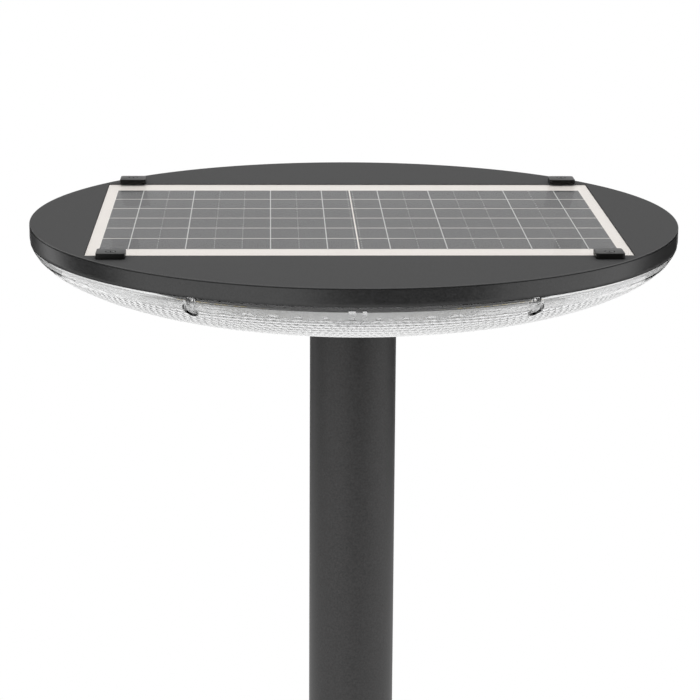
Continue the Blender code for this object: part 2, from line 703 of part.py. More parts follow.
def clip_mesh():
    """Mesh data of one clip, with the panel's edge at y = 0 and the housing at z = 0."""
    shape = bmesh.new()
    low = (-CLIP_WIDTH / 2, -CLIP_LIP, 0.0)
    high = (CLIP_WIDTH / 2, CLIP_FOOT, CLIP_HEIGHT)
    box_at(shape, low, high)
    upright = [e for e in shape.edges if abs(e.verts[0].co.z - e.verts[1].co.z) > CLIP_HEIGHT / 2]
    bmesh.ops.bevel(
        shape,
        geom=upright,
        offset=CLIP_CORNER,
        segments=CORNER_STEPS,
        profile=0.5,
        affect="EDGES",
    )
    block = add_cutter("panel_clip", mesh_of("panel_clip", shape))
    drill = bmesh.new()
    middle = CLIP_FOOT / 2
    seat = CLIP_HEIGHT - CLIP_SEAT
    rod_at(drill, M4["head"] + 2 * GAP, (0, middle, seat), (0, middle, 2 * CLIP_HEIGHT), BOSS_STEPS)
    sink = add_cutter("clip_sink", mesh_of("clip_sink", drill))
    drill = bmesh.new()
    rod_at(drill, M4["shank"] + GAP, (0, middle, -CLIP_HEIGHT), (0, middle, 2 * CLIP_HEIGHT))
    hole = add_cutter("clip_hole", mesh_of("clip_hole", drill))
    combine(block, sink, "DIFFERENCE")
    combine(block, hole, "DIFFERENCE")
    data = baked_mesh(block)
    bpy.data.objects.remove(sink)
    bpy.data.objects.remove(hole)
    return data


def add_clips():
    """Four clips over the panel's long edges, each with its screw."""
    clip = clip_mesh()
    screw = screw_mesh("clip_screw", M4, CLIP_SCREW_LENGTH)
    for i, (side_x, side_y) in enumerate(CLIP_SIDES):
        turn = Matrix.Rotation(0.0 if side_y > 0 else math.pi, 4, "Z")
        edge = Matrix.Translation((side_x * CLIP_X, side_y * CLIP_EDGE_Y, CLIP_Z))
        add_part(f"panel_clip_{i + 1}", clip, CLIP_BLACK, edge @ turn)
        seat = (side_x * CLIP_X, side_y * CLIP_SCREW_Y, CLIP_SEAT_Z + GAP)
        add_part(f"clip_screw_{i + 1}", screw, STEEL, Matrix.Translation(seat))


# Lens, gasket, reflector tray and LED boards


def bowl_point(t, inset):
    """Point of the lens's bowl at a share of the way from rim to flat, moved inwards by inset."""
    u = 1 - t
    flat_radius = COVER_RADIUS + LENS_FLAT_WIDTH
    knots = [
        Vector((LENS_RADIUS, LENS_TOP_Z)),
        Vector((HEAD_RADIUS - LENS_SHOULDER_INSET, LENS_TOP_Z - LENS_SHOULDER_DROP)),
        Vector((flat_radius + LENS_BOTTOM_PULL, LENS_BOTTOM_Z)),
        Vector((flat_radius, LENS_BOTTOM_Z)),
    ]
    place = knots[0] * u**3 + knots[1] * (3 * t * u**2)
    place += knots[2] * (3 * t**2 * u) + knots[3] * t**3
    along = (knots[1] - knots[0]) * u**2 + (knots[2] - knots[1]) * (2 * t * u)
    along += (knots[3] - knots[2]) * t**2
    along.normalize()
    return place + Vector((along.y, -along.x)) * inset


def lens_curve(inset):
    """Points of the lens's bowl from rim to flat, moved inwards by inset."""
    return [bowl_point(i / LENS_CURVE_STEPS, inset) for i in range(LENS_CURVE_STEPS + 1)]


def below(points, height):
    """The part of a falling outline below a height, starting on it."""
    kept = [point for point in points if point.y < height]
    first = points[len(points) - len(kept) - 1]
    share = (first.y - height) / (first.y - kept[0].y)
    return [first.lerp(kept[0], share), *kept]


def add_lens():
    """The clear bowl with an inner flange and a well for each screw."""
    outside = lens_curve(0.0)
    inside = below(lens_curve(LENS_WALL), LENS_FLANGE_Z)
    points = [tuple(point) for point in outside]
    points.append((LENS_INNER_RADIUS, LENS_BOTTOM_Z))
    points.append((LENS_INNER_RADIUS, LENS_BOTTOM_Z + LENS_WALL))
    points += [tuple(point) for point in reversed(inside)]
    points.append((LENS_FLANGE_BORE, LENS_FLANGE_Z))
    points.append((LENS_FLANGE_BORE, LENS_TOP_Z))
    lens = turned_part("lens", points, HEAD_STEPS, CLEAR)
    middle = below(lens_curve(LENS_WALL / 2), LENS_TOP_Z - LENS_FLANGE_THICKNESS / 2)
    core_points = [(0.0, middle[0].y), *[tuple(p) for p in middle], (0.0, middle[-1].y)]
    core = add_cutter("lens_core", profile_mesh("lens_core", core_points, False))
    turn_profile(core, HEAD_STEPS)
    posts = bmesh.new()
    wells = bmesh.new()
    for angle in LENS_SCREW_ANGLES:
        low = polar(LENS_SCREW_CIRCLE, angle, LENS_BOTTOM_Z)
        high = polar(LENS_SCREW_CIRCLE, angle, LENS_TOP_Z)
        rod_at(posts, LENS_BOSS_RADIUS, low, high, ROUND_STEPS)
        floor = polar(LENS_SCREW_CIRCLE, angle, LENS_FLANGE_Z)
        rod_at(wells, LENS_WELL_RADIUS, low, floor, ROUND_STEPS)
    bosses = add_cutter("lens_bosses", mesh_of("lens_bosses", posts))
    combine(bosses, core, "INTERSECT")
    holes = bmesh.new()
    for angle in LENS_SCREW_ANGLES:
        low = polar(LENS_SCREW_CIRCLE, angle, LENS_FLANGE_Z - LENS_FLANGE_THICKNESS)
        high = polar(LENS_SCREW_CIRCLE, angle, REFLECTOR_TOP_Z + REFLECTOR_THICKNESS)
        rod_at(holes, M4["shank"] + GAP, low, high)
    drilled = add_cutter("lens_screw_holes", mesh_of("lens_screw_holes", holes))
    combine(lens, bosses, "UNION")
    combine(lens, add_cutter("lens_wells", mesh_of("lens_wells", wells)), "DIFFERENCE")
    combine(lens, drilled, "DIFFERENCE")
    data = screw_mesh("lens_screw", M4, LENS_SCREW_LENGTH)
    for i, angle in enumerate(LENS_SCREW_ANGLES):
        seat = polar(LENS_SCREW_CIRCLE, angle, LENS_FLANGE_Z - GAP)
        place = Matrix.Translation(seat) @ Matrix.Rotation(math.pi, 4, "X")
        add_part(f"lens_screw_{i + 1}", data, STEEL, place)
    return drilled


def add_reflector(drilled):
    """The gasket, and the white tray that carries the LED boards, with a cone down to the lens."""
    turned_part(
        "lens_gasket",
        [
            (REFLECTOR_RADIUS, GASKET_Z + GASKET_THICKNESS),
            (REFLECTOR_RADIUS, GASKET_Z),
            (REFLECTOR_RADIUS - GASKET_WIDTH, GASKET_Z),
            (REFLECTOR_RADIUS - GASKET_WIDTH, GASKET_Z + GASKET_THICKNESS),
        ],
        HEAD_STEPS,
        RUBBER,
    )
    foot = bowl_point(REFLECTOR_FOOT_SHARE, LENS_WALL + REFLECTOR_CLEARANCE)
    tray = turned_part(
        "led_tray",
        [
            (REFLECTOR_RADIUS, REFLECTOR_TOP_Z),
            (REFLECTOR_RADIUS, REFLECTOR_Z),
            (REFLECTOR_BORE + REFLECTOR_CONE_WALL, REFLECTOR_Z),
            (foot.x, foot.y),
            (foot.x - REFLECTOR_CONE_WALL, foot.y),
            (REFLECTOR_BORE, REFLECTOR_Z),
            (REFLECTOR_BORE, REFLECTOR_TOP_Z),
        ],
        HEAD_STEPS,
        WHITE_TRAY,
    )
    combine(tray, drilled, "DIFFERENCE")


def board_mesh():
    """Mesh data of one LED board, with its top at z = 0 and its LEDs underneath."""
    half = Vector((BOARD_WIDTH, BOARD_LENGTH, 0.0)) / 2
    board = add_cutter(
        "led_board",
        box_mesh("led_board", (-half.x, -half.y, -BOARD_THICKNESS), (half.x, half.y, 0.0)),
    )
    shape = bmesh.new()
    for row in range(LED_ROWS):
        for place in range(LEDS_PER_ROW):
            x = (row - (LED_ROWS - 1) / 2) * LED_ROW_PITCH
            y = (place - (LEDS_PER_ROW - 1) / 2) * LED_PITCH
            low = (x - LED_SIZE / 2, y - LED_SIZE / 2, -BOARD_THICKNESS - LED_HEIGHT)
            high = (x + LED_SIZE / 2, y + LED_SIZE / 2, -BOARD_THICKNESS / 2)
            box_at(shape, low, high)
    packages = add_cutter("led_packages", mesh_of("led_packages", shape))
    combine(board, packages, "UNION")
    data = baked_mesh(board)
    bpy.data.objects.remove(packages)
    return data


def add_boards():
    """LED boards round the reflector tray."""
    data = board_mesh()
    for i in range(LED_BOARDS):
        angle = math.tau * i / LED_BOARDS
        place = Matrix.Translation(polar(BOARD_CIRCLE, angle, BOARD_TOP_Z))
        add_part(f"led_board_{i + 1}", data, BOARD_WHITE, place @ Matrix.Rotation(angle, 4, "Z"))


# Bottom cover, batteries, controller and switch


def add_cover():
    """The round cover under the batteries, with a wall up to the housing."""
    cover = turned_part(
        "bottom_cover",
        [
            (COVER_RADIUS, COVER_TOP_Z),
            (COVER_RADIUS, COVER_FLOOR_Z),
            (COVER_RADIUS + COVER_FLANGE, COVER_FLOOR_Z),
            (COVER_RADIUS + COVER_FLANGE, COVER_BOTTOM_Z),
            (COVER_HOLE_RADIUS, COVER_BOTTOM_Z),
            (COVER_HOLE_RADIUS, COVER_FLOOR_Z),
            (COVER_BORE, COVER_FLOOR_Z),
            (COVER_BORE, COVER_TOP_Z),
        ],
        POLE_STEPS,
        COVER_PLASTIC,
    )
    shape = bmesh.new()
    for angle in COVER_BOSS_ANGLES:
        low = polar(COVER_BOSS_CIRCLE, angle, COVER_BOTTOM_Z - COVER_FLOOR)
        high = polar(COVER_BOSS_CIRCLE, angle, COVER_FLOOR_Z + COVER_FLOOR)
        rod_at(shape, M4["shank"] + GAP, low, high)
    low = (0.0, SWITCH_Y, COVER_BOTTOM_Z - COVER_FLOOR)
    high = (0.0, SWITCH_Y, COVER_FLOOR_Z + COVER_FLOOR)
    rod_at(shape, BEZEL_RADIUS + GAP, low, high, ROUND_STEPS)
    half = COVER_NOTCH_WIDTH / 2
    low = (-half, -COVER_RADIUS - COVER_WALL, COVER_TOP_Z - COVER_NOTCH_DEPTH)
    high = (half, -COVER_BORE + COVER_WALL, COVER_TOP_Z + COVER_NOTCH_DEPTH)
    box_at(shape, low, high)
    combine(cover, add_cutter("cover_holes", mesh_of("cover_holes", shape)), "DIFFERENCE")
    data = screw_mesh("cover_screw", M4, COVER_SCREW_LENGTH)
    for i, angle in enumerate(COVER_BOSS_ANGLES):
        seat = polar(COVER_BOSS_CIRCLE, angle, COVER_BOTTOM_Z - GAP)
        place = Matrix.Translation(seat) @ Matrix.Rotation(math.pi, 4, "X")
        add_part(f"cover_screw_{i + 1}", data, STEEL, place)


def tray_mesh():
    """Mesh data of one open battery tray, centred on its floor."""
    half = Vector((TRAY_LENGTH, TRAY_WIDTH, 0.0)) / 2
    block = add_cutter(
        "battery_tray",
        box_mesh("battery_tray", (-half.x, -half.y, 0.0), (half.x, half.y, TRAY_HEIGHT)),
    )
    low = (TRAY_WALL - half.x, TRAY_WALL - half.y, TRAY_WALL)
    high = (half.x - TRAY_WALL, half.y - TRAY_WALL, 2 * TRAY_HEIGHT)
    hollow = add_cutter("tray_hollow", box_mesh("tray_hollow", low, high))
    combine(block, hollow, "DIFFERENCE")
    data = baked_mesh(block)
    bpy.data.objects.remove(hollow)
    return data


def cell_mesh():
    """Mesh data of one round cell, lying along X with its positive cap at +X."""
    points = [
        (0.0, CELL_LENGTH / 2 + TERMINAL_HEIGHT),
        (TERMINAL_RADIUS, CELL_LENGTH / 2 + TERMINAL_HEIGHT),
        (TERMINAL_RADIUS, CELL_LENGTH / 2),
        (CELL_DIAMETER / 2, CELL_LENGTH / 2),
        (CELL_DIAMETER / 2, -CELL_LENGTH / 2),
        (0.0, -CELL_LENGTH / 2),
    ]
    tool = add_cutter("battery_cell", profile_mesh("battery_cell", points, False))
    turn_profile(tool, ROUND_STEPS)
    return baked_mesh(tool)


def add_batteries():
    """Two trays of cells, one each side of the socket."""
    tray = tray_mesh()
    cell = cell_mesh()
    lie = Matrix.Rotation(math.pi / 2, 4, "Y")
    number = 0
    for i, side in enumerate((1, -1)):
        place = Matrix.Translation((side * TRAY_MIDDLE, 0.0, TRAY_Z))
        add_part(f"battery_tray_{i + 1}", tray, TRAY_PLASTIC, place)
        for row in range(CELLS_PER_TRAY):
            number += 1
            y = (row - (CELLS_PER_TRAY - 1) / 2) * CELL_PITCH
            centre = Matrix.Translation((side * TRAY_MIDDLE, y, CELL_Z))
            add_part(f"battery_cell_{number}", cell, CELL_WRAP, centre @ lie)


def add_controller():
    """The charge controller's case, under the housing's ceiling."""
    half = Vector((CONTROLLER_LENGTH, CONTROLLER_WIDTH, CONTROLLER_HEIGHT)) / 2
    middle = Vector((0.0, CONTROLLER_Y, CONTROLLER_Z))
    data = box_mesh("charge_controller", middle - half, middle + half)
    add_part("charge_controller", data, CASE_PLASTIC)


def add_switch():
    """The push switch in the cover: body above, bezel below, and the button that travels."""
    place = Matrix.Translation((0.0, SWITCH_Y, 0.0))
    shape = bmesh.new()
    low = COVER_FLOOR_Z + GAP
    rod_at(shape, SWITCH_RADIUS, (0, 0, low), (0, 0, low + SWITCH_HEIGHT), ROUND_STEPS)
    add_part("switch_body", mesh_of("switch_body", shape), CASE_PLASTIC, place)
    bezel = turned_part(
        "button_bezel",
        [
            (BEZEL_RADIUS, COVER_FLOOR_Z),
            (BEZEL_RADIUS, BEZEL_TOP_Z),
            (BEZEL_RADIUS + BEZEL_FLANGE, BEZEL_TOP_Z),
            (BEZEL_RADIUS + BEZEL_FLANGE, BEZEL_TOP_Z - BEZEL_HEIGHT),
            (BUTTON_BORE, BEZEL_TOP_Z - BEZEL_HEIGHT),
            (BUTTON_BORE, COVER_FLOOR_Z),
        ],
        ROUND_STEPS,
        CASE_PLASTIC,
    )
    bezel.matrix_world = place
    button = turned_part(
        "power_button",
        [
            (0.0, BUTTON_TOP_Z),
            (BUTTON_RADIUS, BUTTON_TOP_Z),
            (BUTTON_RADIUS, BUTTON_BOTTOM_Z + BUTTON_PROUD / 2),
            (BUTTON_RADIUS - BUTTON_PROUD / 2, BUTTON_BOTTOM_Z),
            (0.0, BUTTON_BOTTOM_Z),
        ],
        ROUND_STEPS,
        BUTTON_RUBBER,
        closed=False,
    )
    button.matrix_world = place


# Internal leads


def add_leads():
    """Leads from the panel, the batteries and the LED tray to the controller."""
    lead_z = POCKET_CEILING_Z - GAP - PANEL_LEAD_DIAMETER / 2
    circle = FLANGE_RADIUS + LEAD_OFFSET
    add_lead(
        "panel_lead",
        (-JUNCTION_LENGTH / 3, JUNCTION_Y - JUNCTION_WIDTH / 2 - GAP, lead_z),
        (0, -1, 0),
        [polar(circle, math.radians(degrees), lead_z) for degrees in (130, 155, 180, 205, 230)],
        (-CONTROLLER_LENGTH / 3, CONTROLLER_Y + CONTROLLER_WIDTH / 2 + GAP, lead_z),
        (0, -1, 0),
        PANEL_LEAD_DIAMETER,
    )
    start_x = TRAY_START + CELL_LENGTH / 4
    outer_y = -(CELLS_PER_TRAY - 1) / 2 * CELL_PITCH
    for i, hand in enumerate((1, -1)):
        middle = (hand * (start_x + CONTROLLER_LENGTH / 2) / 2, (outer_y + CONTROLLER_Y) / 2)
        add_lead(
            f"battery_lead_{i + 1}",
            (hand * start_x, outer_y, CELL_TOP_Z + GAP),
            (0, 0, 1),
            [(middle[0] + hand * LEAD_OFFSET, middle[1], CONTROLLER_Z)],
            (hand * (CONTROLLER_LENGTH / 2 + GAP), CONTROLLER_Y, CONTROLLER_Z),
            (-hand, 0, 0),
            BATTERY_LEAD_DIAMETER,
        )
    rest_z = REFLECTOR_TOP_Z + GAP + LED_LEAD_DIAMETER / 2
    add_lead(
        "led_lead",
        (0.0, CONTROLLER_Y - CONTROLLER_WIDTH / 2 - GAP, rest_z),
        (0, -1, 0),
        [(0.0, -COVER_RADIUS, rest_z)],
        (0.0, -COVER_RADIUS - LED_LEAD_REACH, rest_z),
        (0, -1, 0),
        LED_LEAD_DIAMETER,
    )


add_pole()
add_socket()
add_housing()
add_panel()
add_clips()
add_reflector(add_lens())
add_boards()
add_cover()
add_batteries()
add_controller()
add_switch()
add_leads()
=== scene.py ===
"""Solar street lamp: finishes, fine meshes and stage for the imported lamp.

Laid out as an add-on.  Run as a script, it registers its classes, makes each piece with its own
operator and sets the stage.  Lengths are in metres, in the lamp's frame: +Z up, front facing -Y.
"""

import json
import math

import bmesh
import bpy
import numpy as np
from bpy.props import FloatProperty, FloatVectorProperty, IntProperty, PointerProperty
from mathutils import Matrix, Quaternion, Vector


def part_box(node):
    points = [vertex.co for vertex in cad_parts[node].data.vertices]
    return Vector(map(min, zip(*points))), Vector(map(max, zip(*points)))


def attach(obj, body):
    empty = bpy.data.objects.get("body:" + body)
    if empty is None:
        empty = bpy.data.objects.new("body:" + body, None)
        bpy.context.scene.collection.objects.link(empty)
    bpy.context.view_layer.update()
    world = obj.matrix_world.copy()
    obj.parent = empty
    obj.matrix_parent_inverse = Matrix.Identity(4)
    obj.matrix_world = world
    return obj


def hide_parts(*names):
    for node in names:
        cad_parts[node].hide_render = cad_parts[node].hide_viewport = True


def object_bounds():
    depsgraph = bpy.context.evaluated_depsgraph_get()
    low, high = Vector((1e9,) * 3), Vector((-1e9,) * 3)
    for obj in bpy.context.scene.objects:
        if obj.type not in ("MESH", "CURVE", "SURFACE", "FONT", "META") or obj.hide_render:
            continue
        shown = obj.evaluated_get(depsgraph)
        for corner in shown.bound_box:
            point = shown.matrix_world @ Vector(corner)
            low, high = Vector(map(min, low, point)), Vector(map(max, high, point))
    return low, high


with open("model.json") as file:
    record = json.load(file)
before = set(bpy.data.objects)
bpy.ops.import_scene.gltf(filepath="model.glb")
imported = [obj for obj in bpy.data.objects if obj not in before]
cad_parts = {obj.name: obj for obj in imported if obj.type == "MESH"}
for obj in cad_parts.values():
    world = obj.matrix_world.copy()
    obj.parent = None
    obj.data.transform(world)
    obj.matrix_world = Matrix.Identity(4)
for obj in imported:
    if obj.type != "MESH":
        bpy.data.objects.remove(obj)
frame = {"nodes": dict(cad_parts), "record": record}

bl_info = {
    "name": "Solar Street Lamp",
    "version": (1, 0, 0),
    "blender": (4, 5, 0),
    "location": "View3D > Sidebar > Street Lamp",
    "description": "Dresses a solar street lamp: housing, solar panel, lens, pole and stage",
    "category": "Object",
}

CAD_BOX = [list(corner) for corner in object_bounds()]

# Clearance between pieces that touch, and the angle that makes an edge sharp
GAP = 0.0003
SHARP_ANGLE = math.radians(32)

# Head, read from the frame
HEAD_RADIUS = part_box("top_housing")[1].x
TOP_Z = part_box("top_housing")[1].z
LENS_LOW, LENS_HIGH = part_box("lens")
GLASS_LOW, GLASS_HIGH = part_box("panel_glass")
CELLS_LOW, CELLS_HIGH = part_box("solar_cells")
SHEET_LOW, SHEET_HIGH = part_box("panel_backsheet")
COVER_LOW, COVER_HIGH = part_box("bottom_cover")
TRAY_TOP_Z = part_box("led_tray")[1].z
JUNCTION_LOW, JUNCTION_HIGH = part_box("junction_box")
BOARD_LOW, BOARD_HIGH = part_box("led_board_1")
RIM_BOTTOM_Z = LENS_HIGH.z + GAP
POCKET_FLOOR_Z = SHEET_LOW.z - GAP

# Pole, read from the frame
POLE_LOW, POLE_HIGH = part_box("pole_tube")
SOCKET_LOW, SOCKET_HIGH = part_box("pole_socket")
COUPLER_LOW, COUPLER_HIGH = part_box("pole_coupler")
BEZEL_LOW, BEZEL_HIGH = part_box("button_bezel")
BUTTON_LOW, BUTTON_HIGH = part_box("power_button")
POLE_RADIUS = POLE_HIGH.x


def length(name, description, default):
    """A length that a user may change."""
    return FloatProperty(
        name=name, description=description, default=default, min=0.0, unit="LENGTH", precision=5
    )


def share(name, description, default, top=1.0):
    """A number from nought up."""
    return FloatProperty(name=name, description=description, default=default, min=0.0, max=top)


def colour(name, description, default):
    """A linear colour."""
    return FloatVectorProperty(
        name=name, description=description, default=default, min=0.0, max=1.0, subtype="COLOR"
    )


def point(name, description, default):
    """A point in the frame, in metres."""
    return FloatVectorProperty(
        name=name, description=description, default=default, subtype="TRANSLATION", unit="LENGTH"
    )


def count(name, description, default):
    """A whole number of copies or steps."""
    return IntProperty(name=name, description=description, default=default, min=1)


def number(name, description, default, unit="NONE"):
    """A number of either sign."""
    return FloatProperty(name=name, description=description, default=default, unit=unit)


class HousingSettings(bpy.types.PropertyGroup):
    """Top housing, bottom cover and their paint."""

    paint: colour("Paint", "Powder coat of the housing", (0.025, 0.025, 0.0253))
    roughness: share("Roughness", "Roughness of the powder coat", 0.85)
    rim_roughness: share("Rim roughness", "Roughness on the rim's side, which is smoother", 0.32)
    gloss: share("Gloss", "Specular level of the powder coat", 0.70)
    grain: length("Grain", "Size of the powder coat's grain", 0.0017)
    fillet: length("Rim fillet", "Radius of the edge between the top and the rim", 0.0008)
    groove: length("Rim groove", "Height and depth of the groove under the rim's edge", 0.0008)
    lip_height: length("Lip height", "Height of the tapered lip under the rim", 0.0039)
    lip_taper: length("Lip taper", "How far the lip draws in", 0.0009)
    wall: length("Wall", "Thickness of the top", 0.0030)
    skirt: length("Skirt", "Thickness of the rim's wall", 0.0035)
    pocket_clearance: length("Pocket clearance", "Groove round the panel", 0.0006)
    pocket_wall: length("Pocket wall", "Wall and floor of the panel's pocket", 0.0025)
    boss: length("Boss wall", "Wall of a screw boss round its screw", 0.0027)
    steps: count("Steps", "Facets round the head", 288)


class PanelSettings(bpy.types.PropertyGroup):
    """Solar panel: cells, ribbons, border and glass."""

    silicon: colour("Silicon", "Colour of the cells", (0.008, 0.0083, 0.010))
    border: colour("Border", "Colour of the backsheet", (0.96, 0.905, 0.85))
    ribbon: colour("Ribbon", "Colour of the tinned ribbons", (0.60, 0.60, 0.59))
    sheen: share("Sheen", "Share of the glass's reflection that its coating leaves", 0.25)
    rows: count("Rows", "Rows of cells", 6)
    row_gap: length("Row gap", "Gap between rows", 0.0015)
    middle_gap: length("Middle gap", "Gap between the two halves", 0.0012)
    ribbon_width: length("Ribbon width", "Width of a ribbon", 0.0009)
    ribbon_overrun: length("Ribbon overrun", "How far ribbons run past the front row", 0.0030)
    ribbon_inset: length("Ribbon inset", "How far a ribbon stops inside its cell", 0.0006)
    pads_per_row: count("Pads per row", "Solder pads along one cell", 5)
    pad_width: length("Pad width", "Width of a solder pad", 0.0008)
    pad_length: length("Pad length", "Length of a solder pad", 0.0020)
    finger_pitch: length("Finger pitch", "Spacing of the printed fingers", 0.0018)
    edge: length("Glass edge", "Chamfer round the glass", 0.0003)


class ClipSettings(bpy.types.PropertyGroup):
    """Panel clips and screws."""

    black: colour("Black", "Colour of the clip's plastic", (0.0050, 0.0046, 0.0042))
    corner: length("Corner", "Radius of the upright corners", 0.0030)
    edge: length("Edge", "Radius of the upper edges", 0.0005)
    sink_depth: length("Sink depth", "Depth of the counterbore for the screw head", 0.0024)
    sink_clearance: length("Sink clearance", "Room round the screw head", 0.0006)
    steel: colour("Steel", "Colour of the screws", (0.02, 0.02, 0.02))
    small_head: length("M4 head", "Height of an M4 head", 0.0022)
    small_shank: length("M4 shank", "Radius of an M4 shank", 0.0020)
    large_head: length("M8 head", "Height of an M8 head", 0.0044)
    large_shank: length("M8 shank", "Radius of an M8 shank", 0.0040)


class LensSettings(bpy.types.PropertyGroup):
    """Prismatic lens."""

    tint: colour("Tint", "Colour of the clear plastic", (0.996, 0.998, 0.998))
    roughness: share("Roughness", "Roughness of the moulded surface", 0.03)
    clarity: share("Clarity", "Share of the light that passes without being scattered", 1.0)
    refraction: share("Refraction", "Index of refraction", 1.5, 3.0)
    wall: length("Wall", "Thickness of the bowl", 0.0025)
    shoulder_inset: length("Shoulder inset", "How far its guide lies inside the rim", 0.0045)
    shoulder_drop: length("Shoulder drop", "How far its guide lies below the lens's top", 0.0232)
    bottom_pull: length("Bottom pull", "How far the flat's guide lies outside the flat", 0.0605)
    flat_cover: length("Flat cover", "How far the cover's flange reaches past the flat", 0.0008)
    flange_reach: length("Flange reach", "Width of the top flange", 0.0170)
    flange: length("Flange", "Thickness of the top flange", 0.0030)
    cover_flange: length("Cover flange", "Width of the cover's flange under the lens", 0.0080)
    edge_clearance: length("Edge clearance", "Gap to the cover's wall", 0.0006)
    band: length("Band", "Height of the plain band under the rim", 0.0094)
    waves: count("Waves", "Shallow waves down the band", 1)
    wave_depth: length("Wave depth", "Half the depth of a wave", 0.0001)
    scales: count("Scales", "Scales in a row round the bowl", 252)
    first_width: share("First width", "Width of the first row's scales, in scales", 3.0, 9.0)
    scale_row: length("Scale row", "Height of the first row of scales", 0.0046)
    row_growth: share("Row growth", "Height of a row beside the row above it", 1.12, 2.0)
    scale_depth: length("Scale depth", "Height of a scale's lower edge", 0.0005)
    scale_reach: share("Scale reach", "How many rows a scale reaches down", 1.20, 2.0)
    scale_curve: share("Scale curve", "How round a scale's lower edge is", 1.6, 4.0)
    scale_step: share("Scale step", "How many rows the step under a scale takes", 0.40, 1.0)
    well: length("Screw well", "Radius of a screw well", 0.0046)
    well_wall: length("Well wall", "Wall round a screw well", 0.0020)
    # The dark belt is painted shade on the white reflector, round the top of its cone under the rim
    shade_belt_start: length("Belt start", "Where the dark belt starts below the tray's top", 0.0034)
    shade_belt_end: length("Belt end", "Where the dark belt ends below the tray's top", 0.0265)
    lug_place: number("Lug place", "How far the lug lies to the right", -0.0065, "LENGTH")
    lug_width: length("Lug width", "Width of the moulded lug at the front", 0.0150)
    lug_drop: length("Lug drop", "How far the lug lies below the lens's top", 0.0027)
    lug_height: length("Lug height", "Height of the lug", 0.0052)


class PoleSettings(bpy.types.PropertyGroup):
    """Pole section, socket and coupler."""

    paint: colour("Paint", "Powder coat of the pole", (0.038, 0.037, 0.037))
    zinc: colour("Zinc", "Colour of the galvanised coupler", (0.52, 0.53, 0.54))
    wall: length("Wall", "Thickness of the tube", 0.0032)
    chamfer: length("Chamfer", "Chamfer on cut ends", 0.0006)
    coupler_wall: length("Coupler wall", "Thickness of the coupler", 0.0040)
    socket_clearance: length("Socket clearance", "Room round the tube", 0.0004)
    socket_wall: length("Socket wall", "Thickness of the socket's sleeve", 0.0075)
    socket_fillet: length("Socket fillet", "Fillet under the flange", 0.0060)
    socket_flange: length("Socket flange", "Thickness of the flange", 0.0060)
    steps: count("Steps", "Facets round the pole", 128)


class StageSettings(bpy.types.PropertyGroup):
    """Floor, light and camera."""

    floor: colour("Floor", "Colour of the floor", (0.82, 0.82, 0.82))
    floor_radius: length("Floor radius", "Radius of the floor", 3.0)
    fade_start: length("Fade start", "Where the floor starts to fade to white", 0.30)
    fade_end: length("Fade end", "Where the floor is white", 0.56)
    ambient: share("Ambient", "Light from all round", 0.90)
    key_power: number("Key power", "Power of the overhead softbox", 6.0, "POWER")
    key_height: length("Key height", "Height of the softbox above the pole's foot", 2.6)
    key_size: length("Key size", "Side of the softbox", 2.2)
    card_radius: length("Card radius", "Distance of the dark cards from the pole", 1.40)
    card_height: length("Card height", "Height of the dark cards", 1.20)
    card_tone: share("Card tone", "Grey of the dark cards", 0.01)
    lens: number("Lens", "Focal length of the camera in mm", 124.9)
    eye: point("Camera", "Place of the camera", (-0.0764, -2.1856, 1.0495))
    pitch: number("Pitch", "Downward tilt", 0.24812, "ROTATION")
    yaw: number("Yaw", "Turn to the right", 0.0337, "ROTATION")
    roll: number("Roll", "Tilt to the side", 0.0065, "ROTATION")


GROUPS = {
    "lamp_housing": HousingSettings,
    "lamp_panel": PanelSettings,
    "lamp_clips": ClipSettings,
    "lamp_lens": LensSettings,
    "lamp_pole": PoleSettings,
    "lamp_stage": StageSettings,
}


# Shader sums


class Value:
    """A shader socket that takes part in Python sums, each of which adds a Math node."""

    def __init__(self, sheet, socket):
        self.sheet = sheet
        self.socket = socket

    def __add__(self, other):
        return self.sheet.maths("ADD", self, other)

    def __radd__(self, other):
        return self.sheet.maths("ADD", other, self)

    def __sub__(self, other):
        return self.sheet.maths("SUBTRACT", self, other)

    def __rsub__(self, other):
        return self.sheet.maths("SUBTRACT", other, self)

    def __mul__(self, other):
        return self.sheet.maths("MULTIPLY", self, other)

    def __rmul__(self, other):
        return self.sheet.maths("MULTIPLY", other, self)

    def __lt__(self, other):
        return self.sheet.maths("LESS_THAN", self, other)

    def __gt__(self, other):
        return self.sheet.maths("GREATER_THAN", self, other)

    def __mod__(self, other):
        return self.sheet.maths("FLOORED_MODULO", self, other)

    def __rmod__(self, other):
        return self.sheet.maths("FLOORED_MODULO", other, self)


